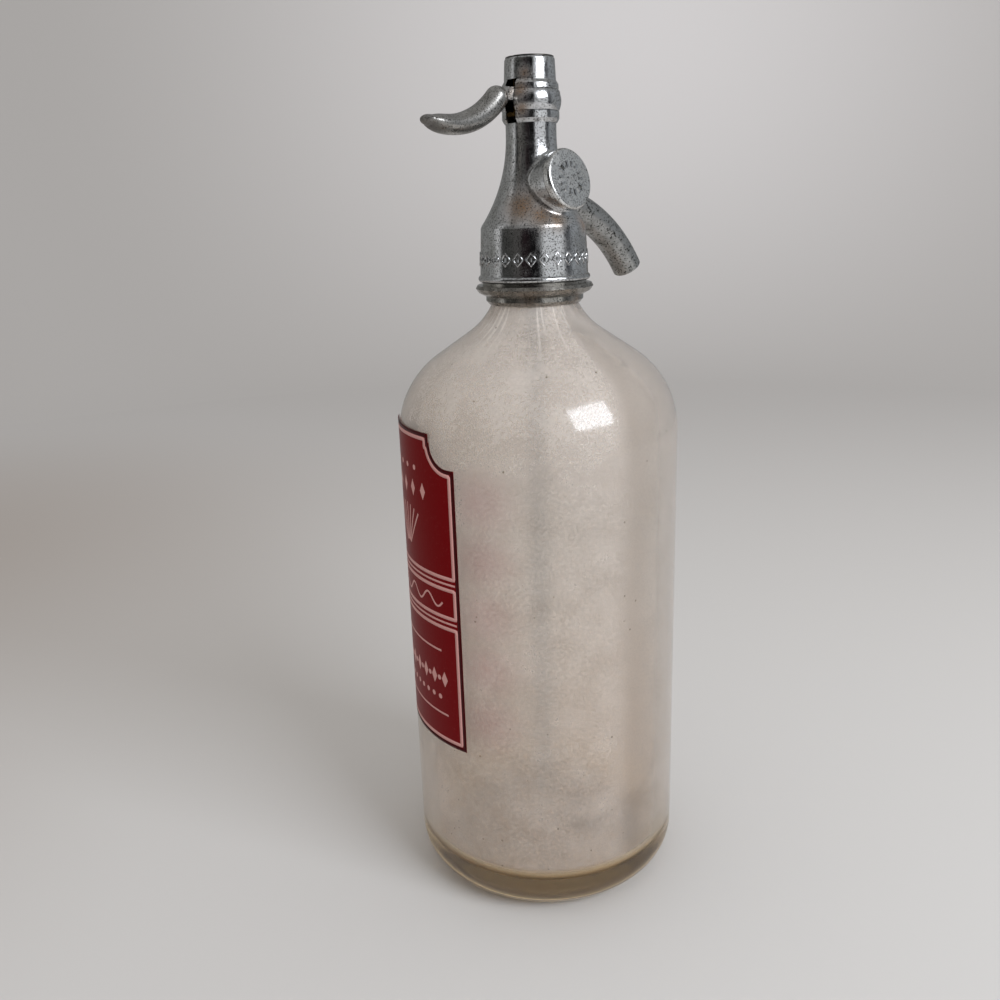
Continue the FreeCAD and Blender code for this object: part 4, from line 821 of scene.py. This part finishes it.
class OBJECT_OT_siphon_stage(bpy.types.Operator):
    """Pale sweep, soft window light and the camera"""
    bl_idname = "object.siphon_stage"
    bl_label = "Stage"

    def execute(self, context):
        scene = context.scene
        scene.view_settings.view_transform = "Standard"
        # A round floor that bends up into a wall, in millimetres
        floor_radius, bend, wall_top, sides = 1100, 900, 2600, 96
        floor = turned("stage_floor", [[(0, 0), (floor_radius, 0)]], sides)
        wall = arc((floor_radius, bend), bend, -90, 0, 24) + [(floor_radius + bend, wall_top)]
        sweep = turned("stage_sweep", [wall], sides)
        # Paper lit unevenly: pale in front, darker far off, dim to the left and bright behind the head
        paper, tree, shader, place = surface("pale_paper_sweep")
        far = add(tree, "ShaderNodeVectorMath", {0: place, 1: (-0.05, -0.25, 0)}, operation="DISTANCE")
        depth = add(tree, "ShaderNodeMapRange", {
            "Value": far.outputs["Value"], "From Min": 0.25, "From Max": 1.25,
        }, interpolation_type="SMOOTHSTEP")
        colour = add(tree, "ShaderNodeMix", {
            0: depth.outputs[0], 6: paint("#C8C7C5"), 7: paint("#BCBBBA")}, data_type="RGBA")
        dim = spots(tree, place, [(-150, 620, 0, 560), (-500, 1500, 350, 900), (-330, 330, 0, 330)])
        share = add(tree, "ShaderNodeMath", {0: dim, 1: 0.75}, operation="MULTIPLY")
        shaded = add(tree, "ShaderNodeMix", {
            0: share.outputs[0], 6: colour.outputs[2], 7: paint("#A39A92")}, data_type="RGBA")
        bright = spots(tree, place, [(1500, 1150, 750, 1300)])
        lit = add(tree, "ShaderNodeMix", {
            0: bright, 6: shaded.outputs[2], 7: paint("#ECECEE")}, data_type="RGBA")
        link(tree, lit.outputs[2], shader, "Base Color")
        shader.inputs["Roughness"].default_value = 0.85
        for piece in (floor, sweep):
            piece.data.materials.append(paper)
        sweep.visible_shadow = False
        sweep.visible_diffuse = False
        sweep.visible_glossy = False

        # The window stands 48 degrees to the right of the camera, high, and faces the bottle's shoulder
        turn, rise, reach, shoulder = math.radians(CAMERA_TURN + 48), math.radians(30), 1.15, 0.18
        lamp = bpy.data.lights.new("window_light", "AREA")
        lamp.shape = "RECTANGLE"
        lamp.size, lamp.size_y = 0.66, 0.50
        lamp.energy = 11.0
        lamp.color = paint("#F4F8FF")[:3]
        window = bpy.data.objects.new("window_light", lamp)
        scene.collection.objects.link(window)
        window.location = (reach * math.cos(turn) * math.cos(rise), reach * math.sin(turn) * math.cos(rise),
                           shoulder + reach * math.sin(rise))
        window.rotation_mode = "QUATERNION"
        window.rotation_quaternion = (Vector((0, 0, shoulder)) - window.location).to_track_quat("-Z", "Y")

        world = bpy.data.worlds.new("soft_room")
        scene.world = world
        world.use_nodes = True
        tree = world.node_tree
        tree.nodes.clear()
        way = add(tree, "ShaderNodeTexCoord").outputs["Generated"]
        parts = add(tree, "ShaderNodeSeparateXYZ", {0: way})
        angle = add(tree, "ShaderNodeMath", {
            0: parts.outputs["Y"], 1: parts.outputs["X"]}, operation="ARCTAN2")
        share = add(tree, "ShaderNodeMapRange", {
            "Value": angle.outputs[0], "From Min": -math.pi, "From Max": math.pi})
        bands = add(tree, "ShaderNodeValToRGB", {0: share.outputs[0]})
        # Room seen in the plating: start of each band in degrees right of the camera, and its grey
        room = [(-150, "#8E8E8C"), (-95, "#A5A5A3"), (-86, "#E8E8E8"), (-79, "#E8E8E8"),
                (-72, "#4A4A48"), (-30, "#5A5856"), (-24, "#2E2426"), (-10, "#2A2224"),
                (-6, "#161616"), (14, "#1A1A1A"), (20, "#F6F8FA"), (66, "#F6F8FA"),
                (72, "#5A5C60"), (84, "#6A6C70"), (90, "#B0B4B8"), (150, "#9A9C9E")]
        stops = sorted(((CAMERA_TURN - 180 + start) % 360 / 360, code) for start, code in room)
        ramp = bands.color_ramp
        ramp.elements[0].position, ramp.elements[0].color = stops[0][0], paint(stops[0][1])
        ramp.elements[1].position, ramp.elements[1].color = stops[-1][0], paint(stops[-1][1])
        for position, code in stops[1:-1]:
            ramp.elements.new(position).color = paint(code)
        high = add(tree, "ShaderNodeMapRange", {
            "Value": parts.outputs["Z"], "From Min": 0.45, "From Max": 0.85,
        }, interpolation_type="SMOOTHSTEP")
        low = add(tree, "ShaderNodeMapRange", {
            "Value": parts.outputs["Z"], "From Min": -0.30, "From Max": -0.60,
        }, interpolation_type="SMOOTHSTEP")
        ceiling = add(tree, "ShaderNodeMix", {
            0: high.outputs[0], 6: bands.outputs[0], 7: paint("#B8B8B8")}, data_type="RGBA")
        ground = add(tree, "ShaderNodeMix", {
            0: low.outputs[0], 6: ceiling.outputs[2], 7: paint("#C4C2BE")}, data_type="RGBA")
        # Only mirrored rays see the room. All others see an even pale sky.
        rays = add(tree, "ShaderNodeLightPath")
        mirrored = add(tree, "ShaderNodeMath", {
            0: rays.outputs["Is Glossy Ray"], 1: rays.outputs["Is Transmission Ray"]},
            operation="SUBTRACT", use_clamp=True)
        seen = add(tree, "ShaderNodeMix", {
            0: mirrored.outputs[0], 6: paint("#EAE6E3"), 7: ground.outputs[2]}, data_type="RGBA")
        sky = add(tree, "ShaderNodeBackground", {"Color": seen.outputs[2], "Strength": 0.84})
        add(tree, "ShaderNodeOutputWorld", {"Surface": sky.outputs[0]})

        # Camera as worked out from the photograph, its focal length as a share of the frame's width
        focal_share = 957.5 / 1000
        camera = bpy.data.cameras.new("camera")
        camera.sensor_width = 36.0
        camera.lens = camera.sensor_width * focal_share
        camera.clip_start, camera.clip_end = 0.01, 20
        holder = bpy.data.objects.new("camera", camera)
        scene.collection.objects.link(holder)
        right = Vector((0.72345, -0.68958, -0.0331))
        up = Vector((0.2233, 0.18836, 0.95638))
        back = -Vector((0.65327, 0.69928, -0.29025))
        view = Matrix((right, up, back)).transposed().to_4x4()
        holder.matrix_world = Matrix.Translation((-0.2429, -0.23869, 0.24841)) @ view
        scene.camera = holder
        return {"FINISHED"}


class VIEW3D_PT_siphon(bpy.types.Panel):
    bl_label = "Soda Siphon"
    bl_space_type = "VIEW_3D"
    bl_region_type = "UI"
    bl_category = "Siphon"

    def draw(self, context):
        scene = context.scene
        for group in (scene.siphon_glass, scene.siphon_label, scene.siphon_metal):
            for name in type(group).__annotations__:
                self.layout.prop(group, name)
        for operator in OPERATORS:
            self.layout.operator(operator.bl_idname)


OPERATORS = (OBJECT_OT_siphon_glass, OBJECT_OT_siphon_label, OBJECT_OT_siphon_head,
             OBJECT_OT_siphon_marks, OBJECT_OT_siphon_works, OBJECT_OT_siphon_stage)
CLASSES = (SiphonGlass, SiphonLabel, SiphonMetal, *OPERATORS, VIEW3D_PT_siphon)


def register():
    for made in CLASSES:
        bpy.utils.register_class(made)
    bpy.types.Scene.siphon_glass = PointerProperty(type=SiphonGlass)
    bpy.types.Scene.siphon_label = PointerProperty(type=SiphonLabel)
    bpy.types.Scene.siphon_metal = PointerProperty(type=SiphonMetal)


def unregister():
    del bpy.types.Scene.siphon_glass, bpy.types.Scene.siphon_label, bpy.types.Scene.siphon_metal
    for made in reversed(CLASSES):
        bpy.utils.unregister_class(made)


def main():
    register()
    bpy.ops.object.siphon_glass()
    bpy.ops.object.siphon_label()
    bpy.ops.object.siphon_head()
    bpy.ops.object.siphon_marks()
    bpy.ops.object.siphon_works()
    bpy.ops.object.siphon_stage()


if __name__ == "__main__":
    main()
